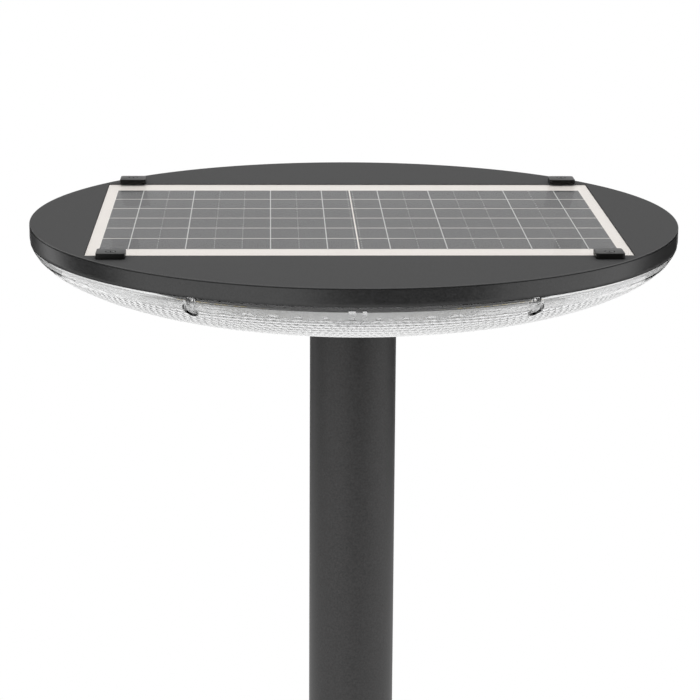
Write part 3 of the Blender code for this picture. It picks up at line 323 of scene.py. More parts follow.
class Sheet:
    """A node tree, and the one way of adding nodes to it."""

    def __init__(self, tree):
        self.tree = tree

    def add(self, kind, settings=None, inputs=None, output=0):
        """Add a node, make its settings, feed its sockets and return one of its outputs."""
        node = self.tree.nodes.new(kind)
        for name, value in (settings or {}).items():
            setattr(node, name, value)
        self.feed(node, inputs or {})
        return Value(self, node.outputs[output])

    def feed(self, node, inputs):
        """Set or link a node's sockets."""
        for name, value in inputs.items():
            if isinstance(value, Value):
                self.tree.links.new(value.socket, node.inputs[name])
            else:
                node.inputs[name].default_value = value

    def maths(self, operation, first, second):
        """A Math node on two values."""
        return self.add("ShaderNodeMath", {"operation": operation}, {0: first, 1: second})

    def place(self, stretch=(1.0, 1.0, 1.0)):
        """A point in the piece's frame, stretched along its axes."""
        point = self.add("ShaderNodeTexCoord", output="Object")
        return self.add("ShaderNodeVectorMath", {"operation": "MULTIPLY"}, {0: point, 1: stretch})

    def radius(self):
        """Distance from the upright axis."""
        flat = self.place((1.0, 1.0, 0.0))
        return self.add("ShaderNodeVectorMath", {"operation": "LENGTH"}, {0: flat}, "Value")

    def ramp(self, value, start, end, kind="LINEAR"):
        """0 up to a start, 1 from an end on, and a ramp between them."""
        inputs = {"Value": value, "From Min": start, "From Max": end}
        return self.add("ShaderNodeMapRange", {"interpolation_type": kind}, inputs)


class Finish(Sheet):
    """A material, its nodes and its Principled shader."""

    def __init__(self, name, constants):
        self.material = bpy.data.materials.new(name)
        self.material.use_nodes = True
        super().__init__(self.material.node_tree)
        self.shader = self.tree.nodes["Principled BSDF"]
        self.feed(self.shader, constants)

    def axis(self, name):
        """One coordinate in the piece's frame."""
        return self.add("ShaderNodeSeparateXYZ", inputs={0: self.place()}, output=name)

    def noise(self, size, detail=2.0, stretch=(1.0, 1.0, 1.0)):
        """Noise from 0 to 1 with grains of about a size, which may be stretched."""
        inputs = {"Vector": self.place(stretch), "Scale": 1.0 / size, "Detail": detail}
        return self.add("ShaderNodeTexNoise", inputs=inputs)

    def blend(self, factor, first, second):
        """A colour between two colours."""
        inputs = {0: factor, 6: opaque(first), 7: opaque(second)}
        return self.add("ShaderNodeMix", {"data_type": "RGBA"}, inputs, output=2)

    def tones(self, factor, base, low, high):
        """Tones of a colour, between two shares of it."""
        return self.blend(factor, shaded(base, low), shaded(base, high))

    def bump(self, height, strength, distance):
        """A normal bent by a height."""
        inputs = {"Height": height, "Strength": strength, "Distance": distance}
        return self.add("ShaderNodeBump", inputs=inputs)

    def shade(self, inputs):
        """Feed the Principled shader, and return the finished material."""
        self.feed(self.shader, inputs)
        return self.material


def opaque(value):
    """A colour with its alpha, or a link as it is."""
    return value if isinstance(value, Value) else (*value, 1.0)


def shaded(base, factor):
    """A colour made darker or lighter."""
    return tuple(min(1.0, channel * factor) for channel in base)


# Finishes

# Powder coat: share of fine grains in its tone, size of its patches in grains, and depth of a grain
FINE_SHARE = 0.85
PATCH_SIZE = 6
GRAIN_DEPTH = 0.00015

# Radii between which the housing's paint changes from its top's gloss to its rim's
RIM_START = HEAD_RADIUS - 0.0010
RIM_END = HEAD_RADIUS - 0.0003

# Width of a printed finger in pitches, and height of the LEDs in a board's thickness
FINGER_WIDTH = 0.1
CHIP_HEIGHT = 0.3


def powder_coat(name, base, roughness, grain, strength, level=0.5, rim=None):
    """Fine-textured paint: grains in colour, gloss and height, and a smoother rim if given."""
    coat = Finish(name, {"IOR": 1.5, "Specular IOR Level": level})
    fine = coat.noise(grain, 3.0)
    patch = coat.noise(PATCH_SIZE * grain, 3.0)
    rough = roughness - 0.10 + 0.16 * fine + 0.04 * patch
    if rim is not None:
        rough = rough + (rim - roughness) * coat.ramp(coat.radius(), RIM_START, RIM_END)
    tone = FINE_SHARE * fine + (1.0 - FINE_SHARE) * patch
    return coat.shade({
        "Base Color": coat.tones(tone, base, 0.1, 1.9),
        "Roughness": rough,
        "Normal": coat.bump(fine, strength, GRAIN_DEPTH),
    })


def housing_paint(scene):
    """Powder coat of the die-cast housing and its socket."""
    house = scene.lamp_housing
    return powder_coat(
        "housing powder coat", house.paint, house.roughness, house.grain,
        strength=0.25, level=house.gloss, rim=house.rim_roughness,
    )


def pole_paint(scene):
    """Powder coat of the pole."""
    grain = scene.lamp_housing.grain
    paint = scene.lamp_pole.paint
    return powder_coat("pole powder coat", paint, roughness=0.50, grain=grain, strength=0.25)


def cover_plastic(scene):
    """Spark-eroded texture of the moulded cover."""
    paint = scene.lamp_housing.paint
    return powder_coat("cover plastic", paint, roughness=0.55, grain=0.0011, strength=0.35)


# Plastics and rubbers without settings: name, colour, roughness and size of the flow pattern
MOULDED = {
    "case_plastic": ("case plastic", (0.02, 0.02, 0.02), 0.42, 0.004),
    "tray_plastic": ("battery tray plastic", (0.09, 0.09, 0.09), 0.55, 0.004),
    "lead_jacket": ("lead jacket", (0.014, 0.014, 0.014), 0.50, 0.002),
    "gasket_rubber": ("gasket rubber", (0.028, 0.028, 0.028), 0.80, 0.001),
    "button_rubber": ("button rubber", (0.23, 0.016, 0.014), 0.50, 0.001),
    "cell_wrap": ("battery wrap", (0.025, 0.09, 0.30), 0.35, 0.008),
}


def moulded_plastic(name, base, roughness, grain, level=0.5):
    """Smooth moulding with a faint flow pattern."""
    plastic = Finish(name, {"IOR": 1.49, "Specular IOR Level": level})
    flow = plastic.noise(grain)
    return plastic.shade({
        "Base Color": plastic.tones(flow, base, 0.85, 1.15),
        "Roughness": roughness - 0.04 + 0.08 * flow,
        "Normal": plastic.bump(flow, 0.05, 0.0001),
    })


def clip_plastic(scene):
    """Satin black of the clips."""
    black = scene.lamp_clips.black
    return moulded_plastic("clip plastic", black, roughness=0.40, grain=0.004, level=0.20)


def screw_steel(scene):
    """Blackened steel with fine scratches and cloudy gloss."""
    metal = Finish("screw steel", {"Metallic": 1.0})
    scratch = metal.noise(0.0006, stretch=(1.0, 1.0, 8.0))
    cloud = metal.noise(0.012)
    return metal.shade({
        "Base Color": metal.tones(cloud, scene.lamp_clips.steel, 0.85, 1.12),
        "Roughness": 0.24 + 0.10 * scratch + 0.06 * cloud,
        "Normal": metal.bump(scratch, 0.08, 0.0001),
    })


def coupler_steel(scene):
    """Galvanised steel with its spangle."""
    metal = Finish("coupler zinc", {"Metallic": 1.0})
    inputs = {"Vector": metal.place(), "Scale": 130.0}
    spangle = metal.add("ShaderNodeTexVoronoi", {"feature": "F1"}, inputs, "Color")
    tone = metal.add("ShaderNodeSeparateColor", inputs={0: spangle})
    return metal.shade({
        "Base Color": metal.tones(tone, scene.lamp_pole.zinc, 0.8, 1.15),
        "Roughness": 0.36 + 0.14 * tone,
        "Normal": metal.bump(metal.noise(0.002), 0.1, 0.0002),
    })


def clear_lens(scene):
    """Clear moulded plastic."""
    clear = scene.lamp_lens
    plastic = Finish("clear lens plastic", {
        "Base Color": opaque(clear.tint),
        "IOR": clear.refraction,
        "Transmission Weight": clear.clarity,
    })
    flow = plastic.noise(0.012, 1.0)
    return plastic.shade({
        "Roughness": clear.roughness * (0.6 + 0.8 * flow),
        "Normal": plastic.bump(flow, 0.05, 0.0003),
    })


def bonded_layer(scene, name, constants):
    """A layer under the panel's bonded glass, with the glass's reflection on it."""
    coat = {"Coat Weight": scene.lamp_panel.sheen, "Coat Roughness": 0.03, "Coat IOR": 1.5}
    return Finish(name, {**coat, **constants})


def solar_cell(scene):
    """Dark silicon with fine printed fingers."""
    panel = scene.lamp_panel
    cell = bonded_layer(scene, "silicon", {"Roughness": 0.4, "Specular IOR Level": 0.2})
    finger = (cell.axis("Y") % panel.finger_pitch) < FINGER_WIDTH * panel.finger_pitch
    tone = 0.2 * cell.noise(0.05, 3.0) + 0.25 * finger
    return cell.shade({"Base Color": cell.tones(tone, panel.silicon, 0.7, 3.0)})


def ribbon_metal(scene):
    """Tinned ribbons and solder pads."""
    tin = bonded_layer(scene, "tinned ribbon", {"Metallic": 1.0})
    cloud = tin.noise(0.004)
    shade = tin.tones(cloud, scene.lamp_panel.ribbon, 0.9, 1.1)
    return tin.shade({"Base Color": shade, "Roughness": 0.35 + 0.2 * cloud})


def backsheet(scene):
    """Warm white laminate."""
    sheet = bonded_layer(scene, "backsheet laminate", {"Specular IOR Level": 0.2})
    cloud = sheet.noise(0.03, 3.0)
    shade = sheet.tones(cloud, scene.lamp_panel.border, 0.96, 1.04)
    return sheet.shade({"Base Color": shade, "Roughness": 0.5 + 0.1 * cloud})


def panel_glass(scene):
    """Thin clear plate; most of its reflection lies on the layers that it is bonded to."""
    clear = {"Base Color": (0.02, 0.025, 0.025, 1.0), "IOR": 1.5, "Alpha": 0.05}
    glass = Finish("panel glass", clear)
    return glass.shade({"Roughness": 0.02 + 0.02 * glass.noise(0.02)})


def reflector_white(scene):
    """White paint of the reflector tray, with a dark belt of painted shade round the top of its
    cone.
    """
    clear = scene.lamp_lens
    paint = Finish("reflector paint", {})
    cloud = paint.noise(0.01)
    drop = TRAY_TOP_Z - paint.axis("Z")
    # Painted shade: dark between the belt's start and end below the tray's top, white elsewhere
    white = (drop < clear.shade_belt_start) + (clear.shade_belt_end - drop < 0.0)
    dark, pale = (0.03, 0.03, 0.03), (0.96, 0.96, 0.96)
    return paint.shade({
        "Base Color": paint.blend(white - 0.02 * cloud, dark, pale),
        "Roughness": 0.30 + 0.1 * cloud,
        "Normal": paint.bump(cloud, 0.05, 0.0002),
    })


def board_white(scene):
    """White solder mask, with the phosphor of the LEDs that stand below it."""
    board = Finish("board mask", {})
    chip = board.axis("Z") < BOARD_LOW.z + CHIP_HEIGHT * (BOARD_HIGH.z - BOARD_LOW.z)
    mask = board.blend(board.noise(0.006), (0.78, 0.78, 0.76), (0.84, 0.84, 0.82))
    return board.shade({
        "Base Color": board.blend(chip, mask, (0.78, 0.60, 0.20)),
        "Roughness": 0.45 - 0.2 * chip,
    })


FINISHES = {
    maker.__name__: maker
    for maker in (
        housing_paint, pole_paint, cover_plastic, clip_plastic, screw_steel, coupler_steel,
        clear_lens, solar_cell, backsheet, panel_glass, reflector_white, board_white,
    )
}
MADE = {}


def finish(scene, slot):
    """The material of a slot, made once."""
    if slot not in MADE:
        MADE[slot] = moulded_plastic(*MOULDED[slot]) if slot in MOULDED else FINISHES[slot](scene)
    return MADE[slot]


# Shapes

# Facets of round pieces; the bowl's are the cover's too, and the button's its bezel's
ROD_STEPS = 32
SCREW_STEPS = 40
WELL_STEPS = 48
PAD_STEPS = 96
BOWL_STEPS = 240
BUTTON_STEPS = 64


def polar(radius, angle, z=0.0):
    """A point at a radius and an angle from +X."""
    return Vector((radius * math.cos(angle), radius * math.sin(angle), z))


def arc(centre, radius, start, end, steps=6):
    """Points of an arc in an outline, between two angles in degrees."""
    angles = [math.radians(start + (end - start) * i / steps) for i in range(steps + 1)]
    return [(centre[0] + radius * math.cos(a), centre[1] + radius * math.sin(a)) for a in angles]


def skin(rings):
    """Mesh over rings of points, joined end to start; a ring of one point closes an end."""
    shape = bmesh.new()
    loops = [[shape.verts.new(point) for point in ring] for ring in rings]
    steps = max(len(loop) for loop in loops)
    for upper, lower in zip(loops, loops[1:] + loops[:1]):
        for i in range(steps):
            corners = [upper[i % len(upper)], upper[(i + 1) % len(upper)]]
            corners += [lower[(i + 1) % len(lower)], lower[i % len(lower)]]
            corners = list(dict.fromkeys(corners))
            if len(corners) > 2:
                shape.faces.new(corners)
    bmesh.ops.recalc_face_normals(shape, faces=shape.faces)
    return shape


def turn(outline, steps):
    """Mesh turned about Z from an outline of (radius, height) points."""
    angles = [math.tau * i / steps for i in range(steps)]
    rings = []
    for radius, height in outline:
        ring = [polar(radius, angle, height) for angle in angles]
        rings.append(ring if radius > 0 else ring[:1])
    return skin(rings)


def facing(direction):
    """A turn that brings +Z to a direction."""
    return direction.to_track_quat("Z", "Y").to_matrix().to_4x4()


def add_rod(shape, radius, start, end, steps=ROD_STEPS):
    """Add a closed cylinder between two points to a shape."""
    start, end = Vector(start), Vector(end)
    place = Matrix.Translation((start + end) / 2) @ facing(end - start)
    depth = (end - start).length
    size = {"segments": steps, "radius1": radius, "radius2": radius, "depth": depth}
    bmesh.ops.create_cone(shape, cap_ends=True, matrix=place, **size)


def add_post(shape, radius, middle, low, high, steps=ROD_STEPS):
    """Add an upright cylinder between two heights, in line with a point."""
    add_rod(shape, radius, (middle.x, middle.y, low), (middle.x, middle.y, high), steps)


def add_box(shape, low, high):
    """Add a box between two corners to a shape."""
    low, high = Vector(low), Vector(high)
    place = Matrix.Translation((low + high) / 2) @ Matrix.Diagonal((*(high - low), 1.0))
    bmesh.ops.create_cube(shape, size=1.0, matrix=place)


def box_shape(low, high):
    """A box between two corners."""
    shape = bmesh.new()
    add_box(shape, low, high)
    return shape


def round_edges(shape, chosen, radius, steps):
    """Round the edges of a shape that a test chooses."""
    edges = [edge for edge in shape.edges if chosen(*(vert.co for vert in edge.verts))]
    bmesh.ops.bevel(shape, geom=edges, offset=radius, segments=steps, profile=0.5, affect="EDGES")


def as_mesh(name, shape):
    """Mesh data of a shape, which it uses up; a mesh stays as it is."""
    if isinstance(shape, bpy.types.Mesh):
        return shape
    mesh = bpy.data.meshes.new(name)
    shape.to_mesh(mesh)
    shape.free()
    return mesh


def put(name, data):
    """An object in the scene."""
    thing = bpy.data.objects.new(name, data)
    bpy.context.scene.collection.objects.link(thing)
    return thing


def carve(name, shape, steps):
    """Mesh of a shape after Boolean steps: pairs of an operation and a tool, a shape or a mesh."""
    things = [put(name, as_mesh(name, shape))]
    for operation, tool in steps:
        things.append(put(name, as_mesh(name, tool)))
        step = things[0].modifiers.new(operation.lower(), "BOOLEAN")
        step.operation = operation
        step.solver = "MANIFOLD"
        step.object = things[-1]
    graph = bpy.context.evaluated_depsgraph_get()
    mesh = bpy.data.meshes.new_from_object(things[0].evaluated_get(graph))
    for thing in things:
        bpy.data.objects.remove(thing)
    mesh.name = name
    return mesh


def cut(name, shape, *tools):
    """Mesh of a shape less some tools."""
    return carve(name, shape, [("DIFFERENCE", tool) for tool in tools])


def add_piece(scene, name, shape, body, slot, *nodes, material=None, place=None):
    """Put a shape or a mesh in the scene as a piece that rides on a body and stands for nodes.

    It gets the finish of its slot, unless a material is given.
    """
    mesh = as_mesh(name, shape)
    mesh.shade_smooth()
    mesh.set_sharp_from_angle(angle=SHARP_ANGLE)
    mesh.materials.clear()
    mesh.materials.append(material or finish(scene, slot))
    piece = put(name, mesh)
    if place is not None:
        piece.matrix_world = place
    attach(piece, body)
    if nodes:
        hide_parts(*nodes)
    return piece


def weigh_normals(piece):
    """Let large flat faces keep flat shading beside small rounded ones."""
    step = piece.modifiers.new("weigh", "WEIGHTED_NORMAL")
    step.keep_sharp = True


def nodes_of(stem):
    """Names of the frame's nodes that are this stem and a number."""
    return sorted(name for name in frame["nodes"] if name.rstrip("0123456789") == stem + "_")


def middle_of(node):
    """Middle of a node's box."""
    low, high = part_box(node)
    return (low + high) / 2


def add_screw_holes(shape, stem, radius, beyond):
    """Add a hole for each upright screw of a stem, which goes a little beyond the screw's ends."""
    for node in nodes_of(stem):
        low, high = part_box(node)
        add_post(shape, radius, middle_of(node), low.z - beyond, high.z + beyond)


# Top housing


def housing_bosses(house, shank):
    """What hangs from the housing's ceiling: screw bosses and the pad for the socket's flange."""
    shape = bmesh.new()
    roof = TOP_Z - house.wall / 2
    floor = POCKET_FLOOR_Z - house.pocket_wall / 2
    clip_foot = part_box("clip_screw_1")[0].z - house.boss
    bosses = [
        ("lens_screw", TRAY_TOP_Z + GAP, roof),
        ("clip_screw", clip_foot, roof),
        ("cover_screw", LENS_LOW.z, floor),
    ]
    for stem, low, high in bosses:
        for node in nodes_of(stem):
            add_post(shape, shank + house.boss, middle_of(node), low, high)
    add_post(shape, SOCKET_HIGH.x, Vector(), SOCKET_HIGH.z + GAP, floor, PAD_STEPS)
    return shape


def housing_shape(house):
    """Outline of the dish, turned: flat top, fillet, rim, tapered lip and hollow underside."""
    ceiling = TOP_Z - house.wall
    bore = HEAD_RADIUS - house.skirt
    middle = (HEAD_RADIUS - house.fillet, TOP_Z - house.fillet)
    outline = [(0.0, TOP_Z), (middle[0] - house.fillet / 2, TOP_Z)]
    outline += arc(middle, house.fillet, 90, 0, 8)
    outline += [
        (HEAD_RADIUS - house.groove, middle[1]),
        (HEAD_RADIUS - house.groove, middle[1] - house.groove),
        (HEAD_RADIUS, middle[1] - house.groove),
        (HEAD_RADIUS, RIM_BOTTOM_Z + house.lip_height),
        (HEAD_RADIUS - house.lip_taper, RIM_BOTTOM_Z),
        (bore, RIM_BOTTOM_Z),
        (bore, ceiling),
        (0.0, ceiling),
    ]
    return turn(outline, house.steps)


class LAMP_OT_housing(bpy.types.Operator):
    """Make the die-cast top housing with its pocket for the panel"""

    bl_idname = "lamp.housing"
    bl_label = "Top Housing"

    def execute(self, context):
        scene = context.scene
        house = scene.lamp_housing
        shank = scene.lamp_clips.small_shank
        up = Vector((0.0, 0.0, 1.0))
        clear = Vector((house.pocket_clearance, house.pocket_clearance, 0.0))
        wall = clear + Vector((house.pocket_wall, house.pocket_wall, 0.0))
        low = Vector((SHEET_LOW.x, SHEET_LOW.y, POCKET_FLOOR_Z))
        high = Vector((SHEET_HIGH.x, SHEET_HIGH.y, TOP_Z))
        holes = bmesh.new()
        for stem in ("lens_screw", "clip_screw", "cover_screw"):
            add_screw_holes(holes, stem, shank + GAP, house.boss / 3)
        slab = box_shape(low - wall - up * house.pocket_wall, high + wall - up * house.wall / 2)
        steps = [
            ("UNION", slab),
            ("UNION", housing_bosses(house, shank)),
            ("DIFFERENCE", box_shape(low - clear, high + clear + up * house.wall)),
            ("DIFFERENCE", box_shape(JUNCTION_LOW - clear, JUNCTION_HIGH + clear)),
            ("DIFFERENCE", holes),
        ]
        mesh = carve("housing_dish", housing_shape(house), steps)
        dish = add_piece(scene, "housing_dish", mesh, "head", "housing_paint", "top_housing")
        weigh_normals(dish)
        return {"FINISHED"}


# Solar panel


def mirrored(places):
    """Places on both sides of the middle."""
    return [side * place for place in places for side in (-1, 1)]


# Ribbons and rows of solder pads, from the panel's middle
RIBBON_X = mirrored((0.0271, 0.0763, 0.1495, 0.1986))
PAD_X = mirrored((0.0027, 0.0516, 0.1009, 0.1249, 0.1740))


def cell_rows(panel):
    """Lower and upper edge of each row of cells."""
    pitch = (CELLS_HIGH.y - CELLS_LOW.y) / panel.rows
    starts = [CELLS_LOW.y + pitch * row for row in range(panel.rows)]
    return [(start + panel.row_gap / 2, start + pitch - panel.row_gap / 2) for start in starts]


def cell_shape(panel):
    """Two half rows of silicon in each row."""
    shape = bmesh.new()
    for low, high in cell_rows(panel):
        for side in (-1, 1):
            ends = sorted((side * panel.middle_gap / 2, side * CELLS_HIGH.x))
            add_box(shape, (ends[0], low, CELLS_LOW.z), (ends[1], high, CELLS_HIGH.z))
    return shape


def laminate_shape(panel):
    """White laminate, with a border and ridges between the cells that come up to their top."""
    shape = bmesh.new()
    add_box(shape, SHEET_LOW, SHEET_HIGH)
    rows = cell_rows(panel)
    ends = [(SHEET_LOW.y, rows[0][0])]
    ends += [(lower[1], upper[0]) for lower, upper in zip(rows, rows[1:])]
    ends.append((rows[-1][1], SHEET_HIGH.y))
    for low, high in ends:
        add_box(shape, (SHEET_LOW.x, low, SHEET_HIGH.z), (SHEET_HIGH.x, high, CELLS_HIGH.z))
    half = panel.middle_gap / 2
    sides = ((SHEET_LOW.x, CELLS_LOW.x), (-half, half), (CELLS_HIGH.x, SHEET_HIGH.x))
    for low, high in rows:
        for left, right in sides:
            add_box(shape, (left, low, SHEET_HIGH.z), (right, high, CELLS_HIGH.z))
    return shape


def ribbon_shape(panel):
    """Ribbons broken between the rows, and solder pads along each cell."""
    shape = bmesh.new()
    top = CELLS_HIGH.z + GAP / 2
    for number, (low, high) in enumerate(cell_rows(panel)):
        start = low - panel.ribbon_overrun if number == 0 else low + panel.ribbon_inset
        end = high - panel.ribbon_inset
        half = panel.ribbon_width / 2
        for x in RIBBON_X:
            add_box(shape, (x - half, start, CELLS_HIGH.z), (x + half, end, top))
        wide, deep = panel.pad_width / 2, panel.pad_length / 2
        for x in PAD_X:
            for pad in range(panel.pads_per_row):
                y = low + (high - low) * (pad + 0.5) / panel.pads_per_row
                add_box(shape, (x - wide, y - deep, CELLS_HIGH.z), (x + wide, y + deep, top))
    return shape


class LAMP_OT_panel(bpy.types.Operator):
    """Make the solar panel: rows of cells, ribbons, border and glass"""

    bl_idname = "lamp.panel"
    bl_label = "Solar Panel"

    def execute(self, context):
        scene = context.scene
        panel = scene.lamp_panel
        add_piece(scene, "cell_rows", cell_shape(panel), "head", "solar_cell", "solar_cells")
        laminate = laminate_shape(panel)
        add_piece(scene, "white_laminate", laminate, "head", "backsheet", "panel_backsheet")
        tin = ribbon_metal(scene)
        add_piece(scene, "cell_ribbons", ribbon_shape(panel), "head", "solar_cell", material=tin)
        plate = box_shape(GLASS_LOW, GLASS_HIGH)
        round_edges(plate, lambda a, b: True, panel.edge, steps=2)
        add_piece(scene, "cover_glass", plate, "head", "panel_glass", "panel_glass")
        return {"FINISHED"}


# Clips and screws


def clip_mesh(clip, low, high, middle, head):
    """One clip between two corners, rounded, with a counterbore and a hole for its screw."""
    block = box_shape(low, high)
    round_edges(block, lambda a, b: abs(a.z - b.z) > clip.corner / 2, clip.corner, steps=6)
    round_edges(block, lambda a, b: min(a.z, b.z) > high.z - clip.edge / 2, clip.edge, steps=3)
    sink, hole = bmesh.new(), bmesh.new()
    seat = high.z - clip.sink_depth
    add_post(sink, head + clip.sink_clearance, middle, seat, high.z + clip.corner)
    add_post(hole, clip.small_shank + GAP, middle, low.z - clip.corner, high.z)
    return cut("panel_clip", block, sink, hole)


class LAMP_OT_clips(bpy.types.Operator):
    """Make the clips that hold the panel"""

    bl_idname = "lamp.clips"
    bl_label = "Panel Clips"

    def execute(self, context):
        scene = context.scene
        for node, screw in zip(nodes_of("panel_clip"), nodes_of("clip_screw")):
            low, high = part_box(screw)
            head = (high.x - low.x) / 2
            mesh = clip_mesh(scene.lamp_clips, *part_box(node), middle_of(screw), head)
            number = node.rsplit("_", 1)[1]
            add_piece(scene, f"glass_clip_{number}", mesh, "head", "clip_plastic", node)
        return {"FINISHED"}


# Head of a screw, in shares of its radius and height: the crown's edge and the edges above the seat
CROWN = (0.55, 0.98)
SEAT_EDGES = ((1.00, 0.08), (0.97, 0.00))

# Recess: its floor and its tool's top in shares of the head's height, the reach of a six-sided one,
# and half the length and width of a cross's arm, in shares of the head's radius
RECESS = (0.45, 1.5)
HEX_REACH = 0.48
CROSS_ARM = (0.60, 0.13)

# Radius of a shank's tip, and a set screw's recess and its depth, in shares of the shank's radius
TIP = 0.7
GRUB_RECESS = 0.58
GRUB_DEPTH = 0.8


def screw_mesh(name, head, height, shank, reach, drive_sides):
    """A screw with its seat at z = 0: domed head above, shank below, and a recess in the head."""
    bevel = height / 3
    outline = [(0.0, height), (head * CROWN[0], height * CROWN[1])]
    outline += arc((head - bevel, height - bevel), bevel, 70, 0, 5)
    outline += [(head * wide, height * tall) for wide, tall in SEAT_EDGES]
    outline += [(shank, 0.0), (shank, shank / 3 - reach), (shank * TIP, -reach), (0.0, -reach)]
    low, high = (height * part for part in RECESS)
    if drive_sides == 6:
        tools = [bmesh.new()]
        add_post(tools[0], head * HEX_REACH, Vector(), low, high, drive_sides)
    else:
        x, y = (head * part for part in CROSS_ARM)
        tools = [box_shape((-x, -y, low), (x, y, high)), box_shape((-y, -x, low), (y, x, high))]
    return cut(name, turn(outline, SCREW_STEPS), *tools)


def grub_mesh(name, radius, reach):
    """A headless set screw with a six-sided recess, its outer end at z = 0."""
    edge = radius / 6
    outline = [(0.0, 0.0), (radius - edge, 0.0), (radius, -edge), (radius, edge - reach)]
    outline += [(radius - edge, -reach), (0.0, -reach)]
    tool = bmesh.new()
    add_post(tool, radius * GRUB_RECESS, Vector(), -radius * GRUB_DEPTH, radius, 6)
    return cut(name, turn(outline, ROD_STEPS), tool)


def outward(middle):
    """The direction away from the pole's axis."""
    return Vector((middle.x, middle.y, 0.0)).normalized()


def place_screw(node, direction, height):
    """Place of a screw's seat, with its head facing a direction, and the screw's whole length."""
    middle = middle_of(node)
    points = [vert.co.dot(direction) for vert in frame["nodes"][node].data.vertices]
    seat = middle + direction * (max(points) - height - middle.dot(direction))
    return Matrix.Translation(seat) @ facing(direction), max(points) - min(points)


class LAMP_OT_screws(bpy.types.Operator):
    """Make the screws that show: clips, lens, cover, socket and coupler"""

    bl_idname = "lamp.screws"
    bl_label = "Screws"

    def execute(self, context):
        scene = context.scene
        clip = scene.lamp_clips
        up, down = Vector((0, 0, 1)), Vector((0, 0, -1))
        small, large = (clip.small_head, clip.small_shank), (clip.large_head, clip.large_shank)
        groups = [
            ("clip_screw", "head", lambda middle: up, *small, 4),
            ("lens_screw", "head", lambda middle: down, *small, 4),
            ("cover_screw", "head", lambda middle: down, *small, 4),
            ("coupler_screw", "pole", outward, *large, 6),
            ("set_screw", "head", outward, 0.0, clip.large_shank, 6),
        ]
        for stem, body, direction, height, shank, sides in groups:
            mesh = None
            for node in nodes_of(stem):
                low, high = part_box(node)
                place, whole = place_screw(node, direction(middle_of(node)), height)
                if mesh is None and height > 0:
                    head = (high.y - low.y) / 2
                    mesh = screw_mesh(stem, head, height, shank, whole - height, sides)
                elif mesh is None:
                    mesh = grub_mesh(stem, shank, whole)
                add_piece(scene, f"fine_{node}", mesh, body, "screw_steel", node, place=place)
        return {"FINISHED"}


# Lens

# Points down the bowl's curve, rings in a wave of the band and inside, and points to a core's ring
CURVE_POINTS = 400
WAVE_RINGS = 12
INNER_RINGS = 40
CORE_STRIDE = 10

# Points across a scale and down a row of scales, and the share of their depth that scales are sunk
ACROSS = 5
DOWN = 5
SUNK = 0.6

# Left and right side of each of the lug's two ribs, as shares of its width from its middle
LUG_RIBS = ((-0.50, -0.12), (0.26, 0.50))


def bowl_curve(clear, inset=0.0):
    """Points (radius, height) down the bowl, moved in by an inset, their normals and runs."""
    flat = COVER_HIGH.x - clear.flat_cover
    knots = np.array([
        (LENS_HIGH.x, LENS_HIGH.z),
        (HEAD_RADIUS - clear.shoulder_inset, LENS_HIGH.z - clear.shoulder_drop),
        (flat + clear.bottom_pull, LENS_LOW.z),
        (flat, LENS_LOW.z),
    ])
    t = np.linspace(0.0, 1.0, CURVE_POINTS)[:, None]
    u = 1.0 - t
    curve = knots[0] * u**3 + 3 * knots[1] * t * u**2 + 3 * knots[2] * t**2 * u + knots[3] * t**3
    sides = np.diff(knots, axis=0)
    slope = sides[0] * u**2 + 2 * sides[1] * t * u + sides[2] * t**2
    slope /= np.linalg.norm(slope, axis=1)[:, None]
    normal = np.stack([-slope[:, 1], slope[:, 0]], axis=1)
    curve = curve - normal * inset
    steps = np.linalg.norm(np.diff(curve, axis=0), axis=1)
    return curve, normal, np.concatenate([[0.0], np.cumsum(steps)])


def along(bowl, places):
    """Points and normals of a bowl's curve at distances from its top."""
    curve, normal, run = bowl
    columns = [np.interp(places, run, values) for values in (*curve.T, *normal.T)]
    return np.stack(columns[:2], axis=1), np.stack(columns[2:], axis=1)


def scale_height(clear, turns, rows):
    """Height of the scales from 0 to 1, at places counted in scales round and rows down the bowl.

    A scale rises to its round lower edge, which lies over the row below, and falls off in a step.
    """
    best = np.zeros((len(rows), len(turns)))
    first = np.floor(rows).astype(int)
    for row in (first - 1, first):
        width = np.where(row == 0, clear.first_width, 1.0)[:, None]
        across = (turns[None, :] - 0.5 * (row % 2)[:, None]) / width
        across = across - np.round(across)
        edge = clear.scale_reach - clear.scale_curve * across**2
        down = (rows - row)[:, None]
        lift = np.minimum(down / edge, 1.0 - (down - edge) / clear.scale_step)
        best = np.where((row >= 0)[:, None], np.maximum(best, lift), best)
    return best


